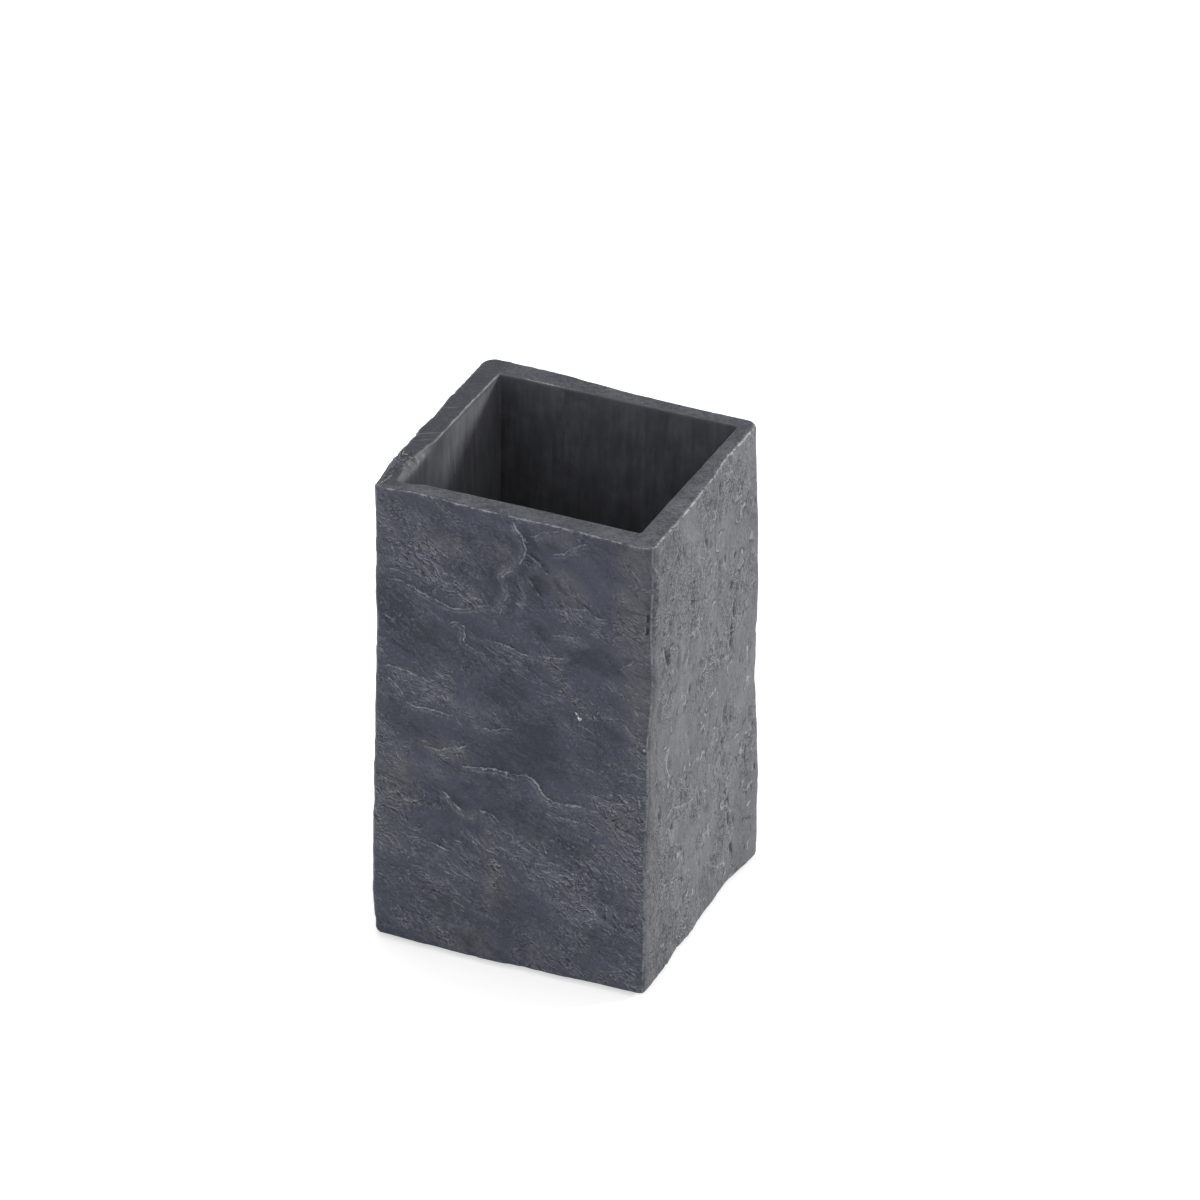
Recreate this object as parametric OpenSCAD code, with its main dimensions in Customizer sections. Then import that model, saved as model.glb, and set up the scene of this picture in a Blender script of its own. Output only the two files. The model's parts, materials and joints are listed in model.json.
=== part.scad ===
// Toothbrush tumbler, cast in stone-filled resin as a square block of split slate.
// The core leaves a plain drafted cavity. The block rests on four self-adhesive foam feet.
// Front and back are split along the layers, left and right are broken across them.
// Origin: centre of the footprint, on the surface that the tumbler stands on.

/* [Block] */
// Overall width across the highest points of the left and right walls
width = 64; // [56:0.5:90]
// Overall depth across the highest points of the front and back walls
depth = 64; // [56:0.5:90]
// Overall height from the standing surface to the highest point of the rim
height = 105; // [80:0.5:140]
// Radius of the worn upright corners
corner_r = 1.4; // [1:0.1:3]
// Radius of the worn outer edge of the rim
rim_wear = 0.7; // [0.3:0.1:0.9]
// Radius of the worn lower edge
base_wear = 0.9; // [0.3:0.1:0.9]

/* [Cavity] */
// Left and right walls at the rim, from the highest point outside to the mouth
side_wall = 5.4; // [4.5:0.1:9]
// Front and back walls at the rim, from the highest point outside to the mouth
front_wall = 7; // [6:0.1:10]
// Thickness of the bottom
bottom = 7; // [4:0.5:15]
// Draft of the cavity walls in degrees
draft = 2; // [0.5:0.25:3]
// Turn of the core in the block in degrees, clockwise from above
core_turn = 1; // [0:0.25:1.5]
// Radius of the upright corners of the cavity
cavity_r = 0.8; // [0.6:0.1:4]
// Radius between the cavity walls and the floor
floor_r = 3; // [1:0.25:5]
// Radius of the edge of the mouth
mouth_wear = 0.4; // [0.2:0.1:0.8]

/* [Split stone] */
// How far a wall leans inside its plane at the most
lean_in = 3.4; // [0:0.1:3.5]
// Long swells of the split front and back, from mean to crest
split_swell = 0.4; // [0:0.05:0.6]
// Rise from one split layer to the next
layer_rise = 0.5; // [0:0.05:0.6]
// Width of the broken edge of a layer
layer_edge = 2.4; // [1:0.1:5]
// How far below its edge a flake thins out
flake_feather = 14; // [6:0.5:25]
// Length of a layer's bays along the grain
layer_long = 23; // [15:1:60]
// Length of a layer's bays across the grain
layer_short = 11; // [8:0.5:30]
// Length of a swell along the grain
swell_long = 30; // [20:1:60]
// Length of a swell across the grain
swell_short = 18; // [12:1:40]
// Dip of the grain across the front, in degrees below level
grain_dip = 26; // [0:1:45]
// Long swells of the broken left and right walls, from mean to crest
broken_swell = 0.4; // [0:0.05:0.8]
// Length of a swell of the broken walls
broken_long = 24; // [15:1:50]
// Upright ribs of the broken walls, from mean to crest
rib_rise = 0.28; // [0:0.02:0.5]
// Spacing of the upright ribs
rib_pitch = 7; // [6:0.5:15]
// Length of an upright rib
rib_long = 21; // [10:1:50]

/* [Rim] */
// Unevenness of the rim, from its lowest to its highest stretch
rim_wave = 0.2; // [0:0.05:1]
// Drop of the broken front left corner of the rim
corner_drop = 0.5; // [0:0.1:1.5]
// How far the broken corner reaches along the left rim
broken_left = 9; // [4:0.5:25]
// How far the broken corner reaches along the front rim
broken_front = 5; // [2:0.5:15]

/* [Feet] */
// Diameter of a foam foot
foot_d = 12; // [8:0.5:14]
// How far the feet stand below the block
foot_proud = 0.8; // [0.4:0.1:2]
// Depth of the moulded seat of a foot
seat_depth = 1; // [0.5:0.1:2]
// Gap round a foot in its seat
seat_gap = 0.3; // [0.1:0.05:0.8]
// Thickness of the adhesive disc between foot and seat
adhesive_t = 0.2; // [0.1:0.05:0.4]
// Margin of foam round the adhesive disc
adhesive_margin = 0.25; // [0:0.05:1]
// Distance from the sides of the block to the centre of a foot
foot_inset = 13; // [11:0.5:18]
// Radius of the lower edge of a foot
foot_edge = 0.4; // [0.1:0.1:0.4]

/* [Fineness] */
// Columns of facets on each wall
columns = 20; // [12:1:22]
// Rows of facets from base to rim
rows = 34; // [20:1:36]

/* [Hidden] */

// Walls in the order in which the outline runs, seen from above against the clock
FRONT = 0;
RIGHT = 1;
BACK = 2;
LEFT = 3;

// How far each wall leans inside its plane at its corners, as shares of the most:
// [base at its start, base at its end, rim at its start, rim at its end]
lean = [[0.00, 0.00, 1.00, 0.00],
        [0.05, 0.36, 0.00, 0.20],
        [0.00, 0.24, 0.95, 0.30],
        [0.30, 0.74, 0.10, 0.36]];

// Flakes: [share across, share up, turn, length as a share of the width, rise in layers]
// A flake stands proud below its edge and feathers out downwards, and a negative one is a bite
front_flakes = [[0.64, 0.42, -14, 0.46, 1.3],
                [0.40, 0.34, -16, 0.27, 0.9],
                [0.17, 0.58, -28, 0.26, 0.9],
                [0.27, 0.79, -4, 0.36, 0.8],
                [0.60, 0.70, -8, 0.24, 0.8],
                [0.50, 0.87, 75, 0.28, 0.9],
                [0.66, 0.89, -41, 0.28, -1.0],
                [0.84, 0.62, -60, 0.30, 0.7],
                [0.22, 0.20, -30, 0.22, 0.7],
                [0.42, 0.13, 0, 0.60, -1.6],
                [0.43, 0.05, 0, 0.60, -1.4],
                [0.05, 0.12, 0, 0.40, 1.2]];
back_flakes = [[0.30, 0.71, 18, 0.48, 1.2],
               [0.62, 0.52, 24, 0.30, -0.9],
               [0.74, 0.80, 12, 0.26, 0.8],
               [0.35, 0.33, 31, 0.40, 1.0],
               [0.78, 0.24, 15, 0.30, 0.8]];

// Hollows: [share across, share up, half width, half height as shares of the width, depth in ribs]
// A negative depth is a boss
right_hollows = [[0.14, 0.72, 0.11, 0.21, 2.2],
                 [0.36, 0.59, 0.10, 0.16, 1.4],
                 [0.26, 0.34, 0.16, 0.19, 1.8],
                 [0.70, 0.24, 0.11, 0.19, 1.6],
                 [0.74, 0.63, 0.08, 0.26, 1.6],
                 [0.50, 0.88, 0.10, 0.14, 1.4],
                 [0.30, 0.03, 0.08, 0.08, 2.0],
                 [0.01, 0.90, 0.13, 0.24, -2.6],
                 [0.01, 0.70, 0.13, 0.24, -3.0],
                 [0.01, 0.44, 0.13, 0.26, -2.6],
                 [0.98, 0.62, 0.13, 0.26, -1.6],
                 [0.99, 0.07, 0.18, 0.60, -5.2],
                 [0.99, 0.86, 0.15, 0.40, -1.3]];
left_hollows = [[0.79, 0.98, 0.21, 0.30, -3.6],
                [0.60, 0.98, 0.16, 0.26, -2.2],
                [0.36, 0.97, 0.20, 0.32, -1.2],
                [0.22, 0.80, 0.13, 0.19, 1.8],
                [0.64, 0.55, 0.11, 0.24, 2.0],
                [0.40, 0.30, 0.14, 0.16, 1.6],
                [0.80, 0.22, 0.10, 0.22, 1.6],
                [0.84, 0.86, 0.10, 0.13, 1.4]];

// Layers that a split wall climbs either way from its mean
layers = 1.4;
// Share of a layer's step that its riser takes
riser = 0.4;
// Share of a flake's half length over which its end tapers out
flake_taper = 0.6;

// Each random field is one small lattice of values that repeats
lattice_n = 16;
swell_fields = [for (seed = [3, 14, 27, 41]) rands(-1, 1, lattice_n * lattice_n, seed)];
layer_fields = [for (seed = [8, 19, 33, 52]) rands(-1, 1, lattice_n * lattice_n, seed)];
rim_field = rands(-1, 1, lattice_n * lattice_n, 6);

function mix(a, b, t) = a + (b - a) * t;
function clamp(t) = max(0, min(1, t));
function ease(t) = let (c = clamp(t)) c * c * (3 - 2 * c);

// Value of a random field at a place in lattice steps, from -1 to 1
// Whole turns of the lattice are added first, because a place can be negative
function knot(values, i, j) =
    let (a = i + 64 * lattice_n, b = j + 64 * lattice_n)
    values[a % lattice_n + lattice_n * (b % lattice_n)];
function field(values, u, v) =
    let (i = floor(u), j = floor(v), a = ease(u - i), b = ease(v - j))
    mix(mix(knot(values, i, j), knot(values, i + 1, j), a),
        mix(knot(values, i, j + 1), knot(values, i + 1, j + 1), a), b);

// A rising value as flat treads joined by short steep risers
function treads(x) = let (n = floor(x)) n + ease(0.5 + (x - n - 0.5) / riser);

// Rise of one flake at a place on its wall
function flake(f, a, b) =
    let (da = a - f[0] * width,
         db = b - f[1] * height,
         along = da * cos(f[2]) + db * sin(f[2]),
         across = db * cos(f[2]) - da * sin(f[2]),
         half = f[3] * width / 2,
         taper = ease((1 - abs(along) / half) / flake_taper),
         edge = ease(0.5 - across / layer_edge),
         feather = clamp(1 + across / flake_feather))
    f[4] * taper * edge * feather;

// Depth of one hollow at a place on its wall
function hollow(h, a, b) =
    let (da = (a / width - h[0]) / h[2],
         db = (b - h[1] * height) / (h[3] * width))
    h[4] * ease(1 - norm([da, db]));

function total(list) = len(list) == 0 ? 0 : list * [for (x = list) 1];

// Relief of a wall split along the layers, at a and b from its lower start corner
function split_relief(wall, flakes, dip, a, b) =
    let (along = a * cos(dip) - b * sin(dip),
         across = a * sin(dip) + b * cos(dip),
         swell = field(swell_fields[wall], along / swell_long, across / swell_short),
         climb = layers * field(layer_fields[wall], along / layer_long, across / layer_short))
    split_swell * swell
    + layer_rise * (treads(climb) + total([for (f = flakes) flake(f, a, b)]));

// Relief of a wall broken across the layers
function broken_relief(wall, hollows, a, b) =
    let (swell = field(swell_fields[wall], a / broken_long, b / broken_long),
         rib = field(layer_fields[wall], a / rib_pitch, b / rib_long))
    broken_swell * swell
    + rib_rise * (rib - total([for (h = hollows) hollow(h, a, b)]));

function relief(wall, a, b) =
    wall == FRONT ? split_relief(wall, front_flakes, grain_dip, a, b) :
    wall == RIGHT ? broken_relief(wall, right_hollows, a, b) :
    wall == BACK ? split_relief(wall, back_flakes, -grain_dip, a, b) :
    broken_relief(wall, left_hollows, a, b);

function half_size(wall) = wall == FRONT || wall == BACK ? depth / 2 : width / 2;
function wall_length(wall) = wall == FRONT || wall == BACK ? width : depth;

// Distance from the centre to a wall, at a share of its length and a share of the height
function reach(wall, s, t) =
    let (l = lean[wall])
    half_size(wall)
    - lean_in * mix(mix(l[0], l[1], s), mix(l[2], l[3], s), t)
    + relief(wall, s * wall_length(wall), t * height);

// Turns a place given as along and outward on a wall into x and y
function turned(wall, along, out) =
    wall == FRONT ? [along, -out] :
    wall == RIGHT ? [out, along] :
    wall == BACK ? [-along, out] :
    [-out, -along];

// Stations round the outline: [wall, share along the wall, turn round the corner at its end]
corner_steps = 4;
stations = [for (wall = [0 : 3])
            each concat([for (j = [0 : columns]) [wall, j / columns, 0]],
                        [for (k = [1 : corner_steps - 1]) [wall, 1, k * 90 / corner_steps]])];
count = len(stations);

// Wear of the upright corner at the end of each wall, as shares of its radius at base and rim
corner_wear = [[1.0, 2.0], [1.2, 2.0], [1.1, 2.0], [1.3, 1.5]];
function corner_at(wall, t) = corner_r * mix(corner_wear[wall][0], corner_wear[wall][1], ease(2 * t - 1));

// Point of the outer skin at a station, at a share of the height and set in by a worn edge
function skin_point(station, t, inset) =
    let (wall = station[0],
         next = (wall + 1) % 4,
         last = (wall + 3) % 4,
         s = station[1],
         r_end = corner_at(wall, t),
         r_start = corner_at(last, t),
         end_along = reach(next, 0, t),
         start_along = -reach(last, 1, t),
         along = mix(start_along + r_start, end_along - r_end, s),
         share = (along - start_along) / (end_along - start_along))
    station[2] == 0
    ? turned(wall, along, reach(wall, share, t) - inset)
    : let (side = reach(wall, (end_along - r_end - start_along) / (end_along - start_along), t),
           side_next = reach(next, r_end / wall_length(next), t),
           r = r_end - inset)
      turned(wall, side_next - r_end + r * sin(station[2]), side - r_end + r * cos(station[2]));

// Rings of the outer skin: [share of the height, inset], with each worn edge in steps of its turn
wear_turns = [0, 30, 60, 90];
body_h = height - foot_proud;
base_rings = [for (a = wear_turns) [base_wear * (1 - cos(a)) / body_h, base_wear * (1 - sin(a))]];
rim_rings = [for (a = wear_turns) [1 - rim_wear * (1 - sin(a)) / body_h, rim_wear * (1 - cos(a))]];
wall_rings = [for (k = [1 : rows - 1])
              [mix(base_wear / body_h, 1 - rim_wear / body_h, k / rows), 0]];
skin_rings = concat(base_rings, wall_rings, rim_rings);

raw_skin = [for (ring = skin_rings) [for (p = stations) skin_point(p, ring[0], ring[1])]];

// The finished skin reaches the overall width and depth exactly
all_x = [for (ring = raw_skin) each [for (p = ring) p[0]]];
all_y = [for (ring = raw_skin) each [for (p = ring) p[1]]];
function refit(v, low, high, size) = size * ((v - low) / (high - low) - 0.5);
x_low = min(all_x);
x_high = max(all_x);
y_low = min(all_y);
y_high = max(all_y);

// How far the rim dips at a station, for its own waves and for the broken corner
function rim_dip(station) =
    let (wall = station[0],
         s = station[1],
         wave = rim_wave / 2 * field(rim_field, (wall + s) * lattice_n / 4, 0),
         near = wall == LEFT ? 1 - (1 - s) * depth / broken_left :
                wall == FRONT ? 1 - s * width / broken_front : 0)
    wave + corner_drop * ease(2 * near);
dips = [for (p = stations) rim_dip(p)];

// Height of the rim above the underside of the block at each station
rim_z = [for (d = dips) body_h - (d - min(dips))];

skin = [for (k = [0 : len(skin_rings) - 1])
        [for (i = [0 : count - 1])
         [refit(raw_skin[k][i][0], x_low, x_high, width),
          refit(raw_skin[k][i][1], y_low, y_high, depth),
          foot_proud + skin_rings[k][0] * rim_z[i]]]];

// Half sizes of the mouth
mouth_x = width / 2 - side_wall;
mouth_y = depth / 2 - front_wall;
function cavity_half(wall) = wall == FRONT || wall == BACK ? mouth_y : mouth_x;

// Point of the cavity at a station, set in from the mouth
function cavity_point(station, inset) =
    let (wall = station[0],
         next = (wall + 1) % 4,
         out = cavity_half(wall) - inset,
         end = cavity_half(next) - inset,
         r = cavity_r)
    station[2] == 0
    ? turned(wall, mix(r - end, end - r, station[1]), out)
    : turned(wall, end - r + r * sin(station[2]), out - r + r * cos(station[2]));

// A point turned with the core
function spun(p) = [p[0] * cos(core_turn) + p[1] * sin(core_turn),
                    p[1] * cos(core_turn) - p[0] * sin(core_turn)];

floor_z = foot_proud + bottom;
cavity_depth = height - floor_z;

// Rings of the cavity: [depth below the rim, inset] at the mouth and [height, inset] at the floor
mouth_rings = [for (a = wear_turns) [mouth_wear * (1 - cos(a)), mouth_wear * (sin(a) - 1)]];
slope = tan(draft);
fillet_rings = [for (a = wear_turns)
                [floor_z + floor_r * (1 - sin(a)),
                 slope * (cavity_depth - floor_r) + floor_r * (1 - cos(a))]];

cavity = concat(
    [for (m = mouth_rings)
     [for (i = [0 : count - 1])
      let (p = spun(cavity_point(stations[i], m[1])))
      [p[0], p[1], foot_proud + rim_z[i] - m[0]]]],
    [for (f = fillet_rings)
     [for (station = stations)
      let (p = spun(cavity_point(station, f[1])))
      [p[0], p[1], f[0]]]]);

// Rings from the underside up the skin, over the rim and down the cavity to its floor
rings = concat(skin, cavity);
last_ring = len(rings) - 1;
side_faces = [for (k = [0 : last_ring - 1])
              for (i = [0 : count - 1])
              let (j = (i + 1) % count,
                   a = k * count + i,
                   b = k * count + j,
                   c = (k + 1) * count + j,
                   d = (k + 1) * count + i)
              each [[a, c, b], [a, d, c]]];
underside = [for (i = [0 : count - 1]) i];
cavity_floor = [for (i = [0 : count - 1]) last_ring * count + count - 1 - i];

foot_t = seat_depth + foot_proud - adhesive_t;
foot_x = width / 2 - foot_inset;
foot_y = depth / 2 - foot_inset;

module foot_seat(x, y) {
    translate([x, y, 0])
        cylinder(d = foot_d + 2 * seat_gap, h = foot_proud + seat_depth, $fn = 64);
}

module tumbler_body() {
    color([0.31, 0.33, 0.37])
        difference() {
            polyhedron(points = [for (ring = rings) each ring],
                       faces = concat([underside], side_faces, [cavity_floor]));
            foot_seat(-foot_x, -foot_y);
            foot_seat(foot_x, -foot_y);
            foot_seat(-foot_x, foot_y);
            foot_seat(foot_x, foot_y);
        }
}

// Die-cut foam disc with a soft lower edge
module foot(x, y) {
    color([0.13, 0.13, 0.14])
        translate([x, y, 0])
            rotate_extrude($fn = 64)
                union() {
                    translate([0, foot_edge])
                        square([foot_d / 2, foot_t - foot_edge]);
                    square([foot_d / 2 - foot_edge, foot_t]);
                    intersection() {
                        translate([foot_d / 2 - foot_edge, foot_edge])
                            circle(r = foot_edge, $fn = 32);
                        square([foot_d / 2, foot_t]);
                    }
                }
}

// Double-sided adhesive disc between a foot and the roof of its seat
module adhesive(x, y) {
    color([0.78, 0.76, 0.70])
        translate([x, y, foot_t])
            cylinder(d = foot_d - 2 * adhesive_margin, h = adhesive_t, $fn = 64);
}

tumbler_body();
foot(-foot_x, -foot_y);  // foot_front_left
foot(foot_x, -foot_y);  // foot_front_right
foot(-foot_x, foot_y);  // foot_back_left
foot(foot_x, foot_y);  // foot_back_right
adhesive(-foot_x, -foot_y);  // adhesive_front_left
adhesive(foot_x, -foot_y);  // adhesive_front_right
adhesive(-foot_x, foot_y);  // adhesive_back_left
adhesive(foot_x, foot_y);  // adhesive_back_right
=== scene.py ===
# Toothbrush tumbler: a block of split slate cast in stone-filled resin, on four foam feet.
# The casting is skinned over the CAD body, then weathered. The feet keep their CAD shapes.
import json
import math

import bmesh
import bpy
import numpy as np
from mathutils import Matrix, Vector, noise
from mathutils.bvhtree import BVHTree

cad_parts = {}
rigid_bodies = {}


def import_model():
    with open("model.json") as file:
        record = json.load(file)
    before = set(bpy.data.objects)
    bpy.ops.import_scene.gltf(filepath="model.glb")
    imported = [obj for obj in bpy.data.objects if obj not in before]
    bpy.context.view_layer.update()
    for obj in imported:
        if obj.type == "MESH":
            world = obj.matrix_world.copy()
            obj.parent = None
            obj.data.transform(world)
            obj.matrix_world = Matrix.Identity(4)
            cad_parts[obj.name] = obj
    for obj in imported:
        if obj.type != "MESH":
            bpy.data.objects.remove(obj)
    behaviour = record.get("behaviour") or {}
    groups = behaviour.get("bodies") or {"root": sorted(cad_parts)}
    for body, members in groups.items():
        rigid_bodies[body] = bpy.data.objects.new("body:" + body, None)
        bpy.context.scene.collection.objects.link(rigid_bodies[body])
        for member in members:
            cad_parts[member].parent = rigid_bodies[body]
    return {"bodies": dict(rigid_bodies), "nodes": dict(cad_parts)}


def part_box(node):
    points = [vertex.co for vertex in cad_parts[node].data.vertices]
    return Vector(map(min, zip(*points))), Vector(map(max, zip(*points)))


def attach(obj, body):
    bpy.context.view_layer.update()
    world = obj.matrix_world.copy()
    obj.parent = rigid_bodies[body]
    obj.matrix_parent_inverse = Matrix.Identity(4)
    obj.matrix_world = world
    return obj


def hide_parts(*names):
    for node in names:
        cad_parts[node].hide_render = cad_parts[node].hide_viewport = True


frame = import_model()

bl_info = {
    "name": "Slate Tumbler",
    "version": (1, 0, 0),
    "blender": (4, 5, 0),
    "location": "3D View > Sidebar > Tumbler",
    "description": "Builds a split-slate toothbrush tumbler round its packed solids",
    "category": "Object",
}

MM = 0.001
BODY = "tumbler_body"
FEET = ["foot_front_left", "foot_front_right", "foot_back_left", "foot_back_right"]
DISCS = ["adhesive_front_left", "adhesive_front_right",
         "adhesive_back_left", "adhesive_back_right"]

# Walls in the order in which the outline runs, seen from above against the clock
FRONT, RIGHT, BACK, LEFT = range(4)
OUTWARD = np.array([[0, -1], [1, 0], [0, 1], [-1, 0]], float)
ALONG = np.array([[1, 0], [0, 1], [-1, 0], [0, -1]], float)
CORNER_STEPS = 6

# Kinds of ring, from the underside up the skin, over the rim and down to the floor
BASE, WALL, EDGE, RIM, MOUTH, CAVITY, FILLET = range(7)

# Finishes of the casting, in the order of its material slots
SPLIT, CUT, MOULDED = range(3)

GRAIN_DIP = 26.0
SHARP_ANGLE = math.radians(55)
# Far from every marked line, in mm
FAR = 9.0

# Ledges of the split front in mm, each a crest line of (x, z) points from left to right.
# The stone below a crest stands proud by the rise, and thins out over the fall.
# (rise, fall, shine, points)
FRONT_LEDGES = [
    (0.42, 9, 0.55, [(-27.7, 83.9), (-25.1, 84.5), (-21.2, 83.7), (-18, 82.7), (-15.4, 82.1),
        (-12.8, 81.3), (-9.9, 81.6), (-7, 82.8), (-4.8, 83.5), (-2.6, 83.4)]),
    (0.32, 5, 0.75, [(-13.6, 77.1), (-11.7, 78.4), (-9.9, 77.7), (-9.7, 75.8), (-9.9, 73.8),
        (-8.4, 73), (-6.5, 72.2), (-4.3, 72.3)]),
    (0.45, 8, 0.7, [(-4, 75.6), (-0.3, 75.2), (2.3, 74.3), (5.2, 74.3), (8.5, 74.7),
        (12.6, 75.4)]),
    (0.35, 4, 0.55, [(9.2, 79.9), (11.4, 80.4), (13.9, 80.6), (16.1, 80.1), (17.5, 79)]),
    (0.42, 7, 0.7, [(-28.2, 63.6), (-26.7, 64.3), (-24.9, 64.1), (-22.6, 63.9), (-21.1, 63.5),
        (-18.4, 63), (-16.8, 62)]),
    (0.3, 4, 0.75, [(-28.2, 62.5), (-25.8, 60.8), (-23.9, 59.4), (-22.7, 57.1), (-20.7, 56.5),
        (-17, 56.6), (-12, 56.2)]),
    (0.4, 7, 0.55, [(-7.9, 56.6), (-5.7, 55.6), (-3.5, 55), (-0.9, 56.2), (1.4, 56.6)]),
    (0.5, 6, 0.8, [(-18.9, 47.3), (-16.3, 47.6), (-15.1, 47.2), (-13.1, 48.6), (-10.9, 49.2),
        (-8.2, 50.3)]),
    (0.6, 10, 0.9, [(-11.8, 45.6), (-9.4, 45.1), (-5.6, 45.8), (-2.2, 46.4), (0.8, 46.2), (3, 46),
        (4.4, 46.7), (6.2, 46.1), (7.4, 45.1), (8.2, 43.4), (9.3, 42.5), (11.1, 41.7), (14.1, 42),
        (16.6, 42.2), (19.5, 41.7), (22, 41.6)]),
    (0.38, 8, 0.75, [(8.6, 38.9), (11.2, 38.6), (13, 38.8), (15.6, 38.4), (17.4, 38.8),
        (19.5, 39.7)]),
    (0.5, 8, 0.85, [(-14.6, 37.9), (-13.1, 37.5), (-11.9, 36.2), (-10.7, 35.2), (-9.2, 34.5),
        (-7.7, 34.3), (-5.9, 34.5)]),
    (0.4, 6, 0.7, [(-5.9, 35.6), (-5.2, 35.6), (-3, 35.3), (-1.9, 34.4), (-1.1, 33.8)]),
    (0.35, 5, 0.7, [(-16.9, 25.7), (-14.7, 25.2), (-13.2, 24.8), (-12, 24.7)]),
    (0.3, 4, 0.6, [(-11.4, 27.4), (-9.9, 27.4), (-9.5, 26.7)]),
    (0.3, 4, 0.5, [(-20.1, 24), (-18.2, 22.5)]), (0.3, 4, 0.5, [(0.7, 32.5), (2.1, 33.1)]),
    (0.3, 5, 0.45, [(8.1, 98.3), (11.8, 99.2), (13.2, 100.8), (15.1, 102), (17.3, 102.9)]),
    (0.35, 5, 0.5, [(11.5, 86.4), (16.7, 87.5), (19.3, 86.1), (21.5, 86.4)]),
    (0.35, 6, 0.45, [(22.2, 89.5), (23.7, 88.7), (24.6, 85.9), (24.9, 84.4)]),
    (0.3, 6, 0.4, [(24.2, 75.7), (26.8, 77.5), (27.5, 78.5)]),
    (0.3, 5, 0.45, [(25.5, 63.2), (27.8, 61), (30, 59.2)]),
    (0.35, 5, 0.4, [(3.7, 100.7), (7.3, 103.1), (10.9, 104)]),
]
# Breaks of the front, where stone has come away, as (depth, width, points)
FRONT_BREAKS = [
    (0.5, 1.6, [(3.5, 98.4), (4.6, 96.6), (6.4, 95.9), (7.4, 94.2), (9, 93.6)]),
    (0.3, 0.9, [(8.8, 92.6), (10.2, 91.7), (11.1, 90.2), (12.7, 89.6)]),
    (0.24, 0.8, [(13.9, 89.9), (15.2, 88.6), (16.9, 88.3), (18, 87.2)]),
    (0.4, 1.8, [(3.9, 92.2), (5.2, 90.8), (5.6, 89.4), (7.2, 88.1)]),
    (0.2, 0.8, [(0.9, 89.6), (2.2, 88.6), (3, 86.9)]), (0.3, 0.7, [(6.6, 96.7), (8.4, 94.8)]),
    (0.6, 0.7, [(30.4, 90), (30.5, 88.6), (30.4, 88)]),
    (0.6, 0.7, [(30.3, 87), (30.4, 86), (30.2, 84.6)]),
]
# The upright ridge near the middle of the front, as (rise, half width, points)
FRONT_RIDGES = [
    (0.95, 1.5, [(-0.1, 104), (0.8, 102.5), (1.9, 101.1), (3, 98.6), (2.3, 96.2), (0.5, 93.6),
        (-1.3, 92.3), (-2.4, 90.9), (-1.4, 89.7), (-0.8, 87.9), (-1.5, 85.5), (-2.6, 82.5),
        (-3.3, 81.7)]),
]
# Small chips that show the white filler, as points of short lines
FRONT_CHIPS = [
    [(14.6, 63.5), (15.3, 63.1), (15.7, 62.8)], [(16.2, 62.6), (15.7, 61.6)],
    [(28.5, 59.3), (28.9, 58.9)], [(29.8, 58.3), (30.6, 57.9)],
]
# Patches as (x, z, half width, half height, strength)
FRONT_RUST = [
    (-25.5, 38, 6, 7, 1), (-13.5, 47.8, 6, 2, 1), (-24.6, 25.4, 4, 4, 0.5),
    (-8.5, 4.6, 10, 4, 0.6), (8, 5, 5, 3, 0.35), (26.4, 40, 5, 6, 0.7), (28.5, 70, 4, 14, 0.9),
    (28, 88, 5, 12, 1), (-15.4, 95.5, 6, 4, 0.8), (-1.2, 95.5, 3, 5, 0.8), (9, 102.5, 6, 2, 0.5),
    (-1.8, 19.5, 3, 6, 1), (-3.4, 27.5, 1.6, 4, 0.6), (12.5, 91, 5, 4, 0.7), (-30, 98, 3, 7, 0.6),
    (-30, 52, 2.5, 7, 0.5), (20, 2.5, 6, 2.5, 0.4), (28, 101, 5, 5, 1), (28, 24, 3, 9, 0.3),
    (-8.3, 34.3, 3, 1.2, 0.8),
]
FRONT_SCUFFS = [
    (-18.5, 90.5, 9, 6, 1), (-21, 99, 6, 4, 0.5), (-10, 85, 5, 3, 0.5), (10.5, 74, 5, 2, 1),
    (14, 79.6, 4, 1.8, 0.8), (-20, 61, 6, 5, 0.5), (14, 85, 6, 2, 0.5), (20, 84, 4, 3, 0.4),
    (10, 33, 12, 10, 0.25), (-20, 12, 8, 10, 0.3), (16, 62, 7, 7, 0.3), (24, 44, 5, 3, 0.9),
    (-22, 38, 5, 8, 0.4), (-13, 65, 10, 6, 0.3), (1.5, 84, 5, 4, 0.3), (-12, 14, 20, 14, 0.3),
    (24, 22, 9, 22, 0.3), (29, 48, 4, 20, 0.6), (-17, 96, 12, 9, 0.6), (-29.5, 50, 3, 60, 0.45),
    (29, 20, 4, 24, 0.5), (2, 60, 6, 3, 0.4), (-4, 71, 8, 3, 0.5), (18, 24, 9, 12, 0.8),
    (-24, 80, 7, 6, 0.4), (-27, 35, 4, 5, 0.7), (-2, 21, 2.5, 8, 0.7), (-25, 74, 5, 4, 0.6),
    (-26, 10, 6, 7, 0.5),
]
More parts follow.
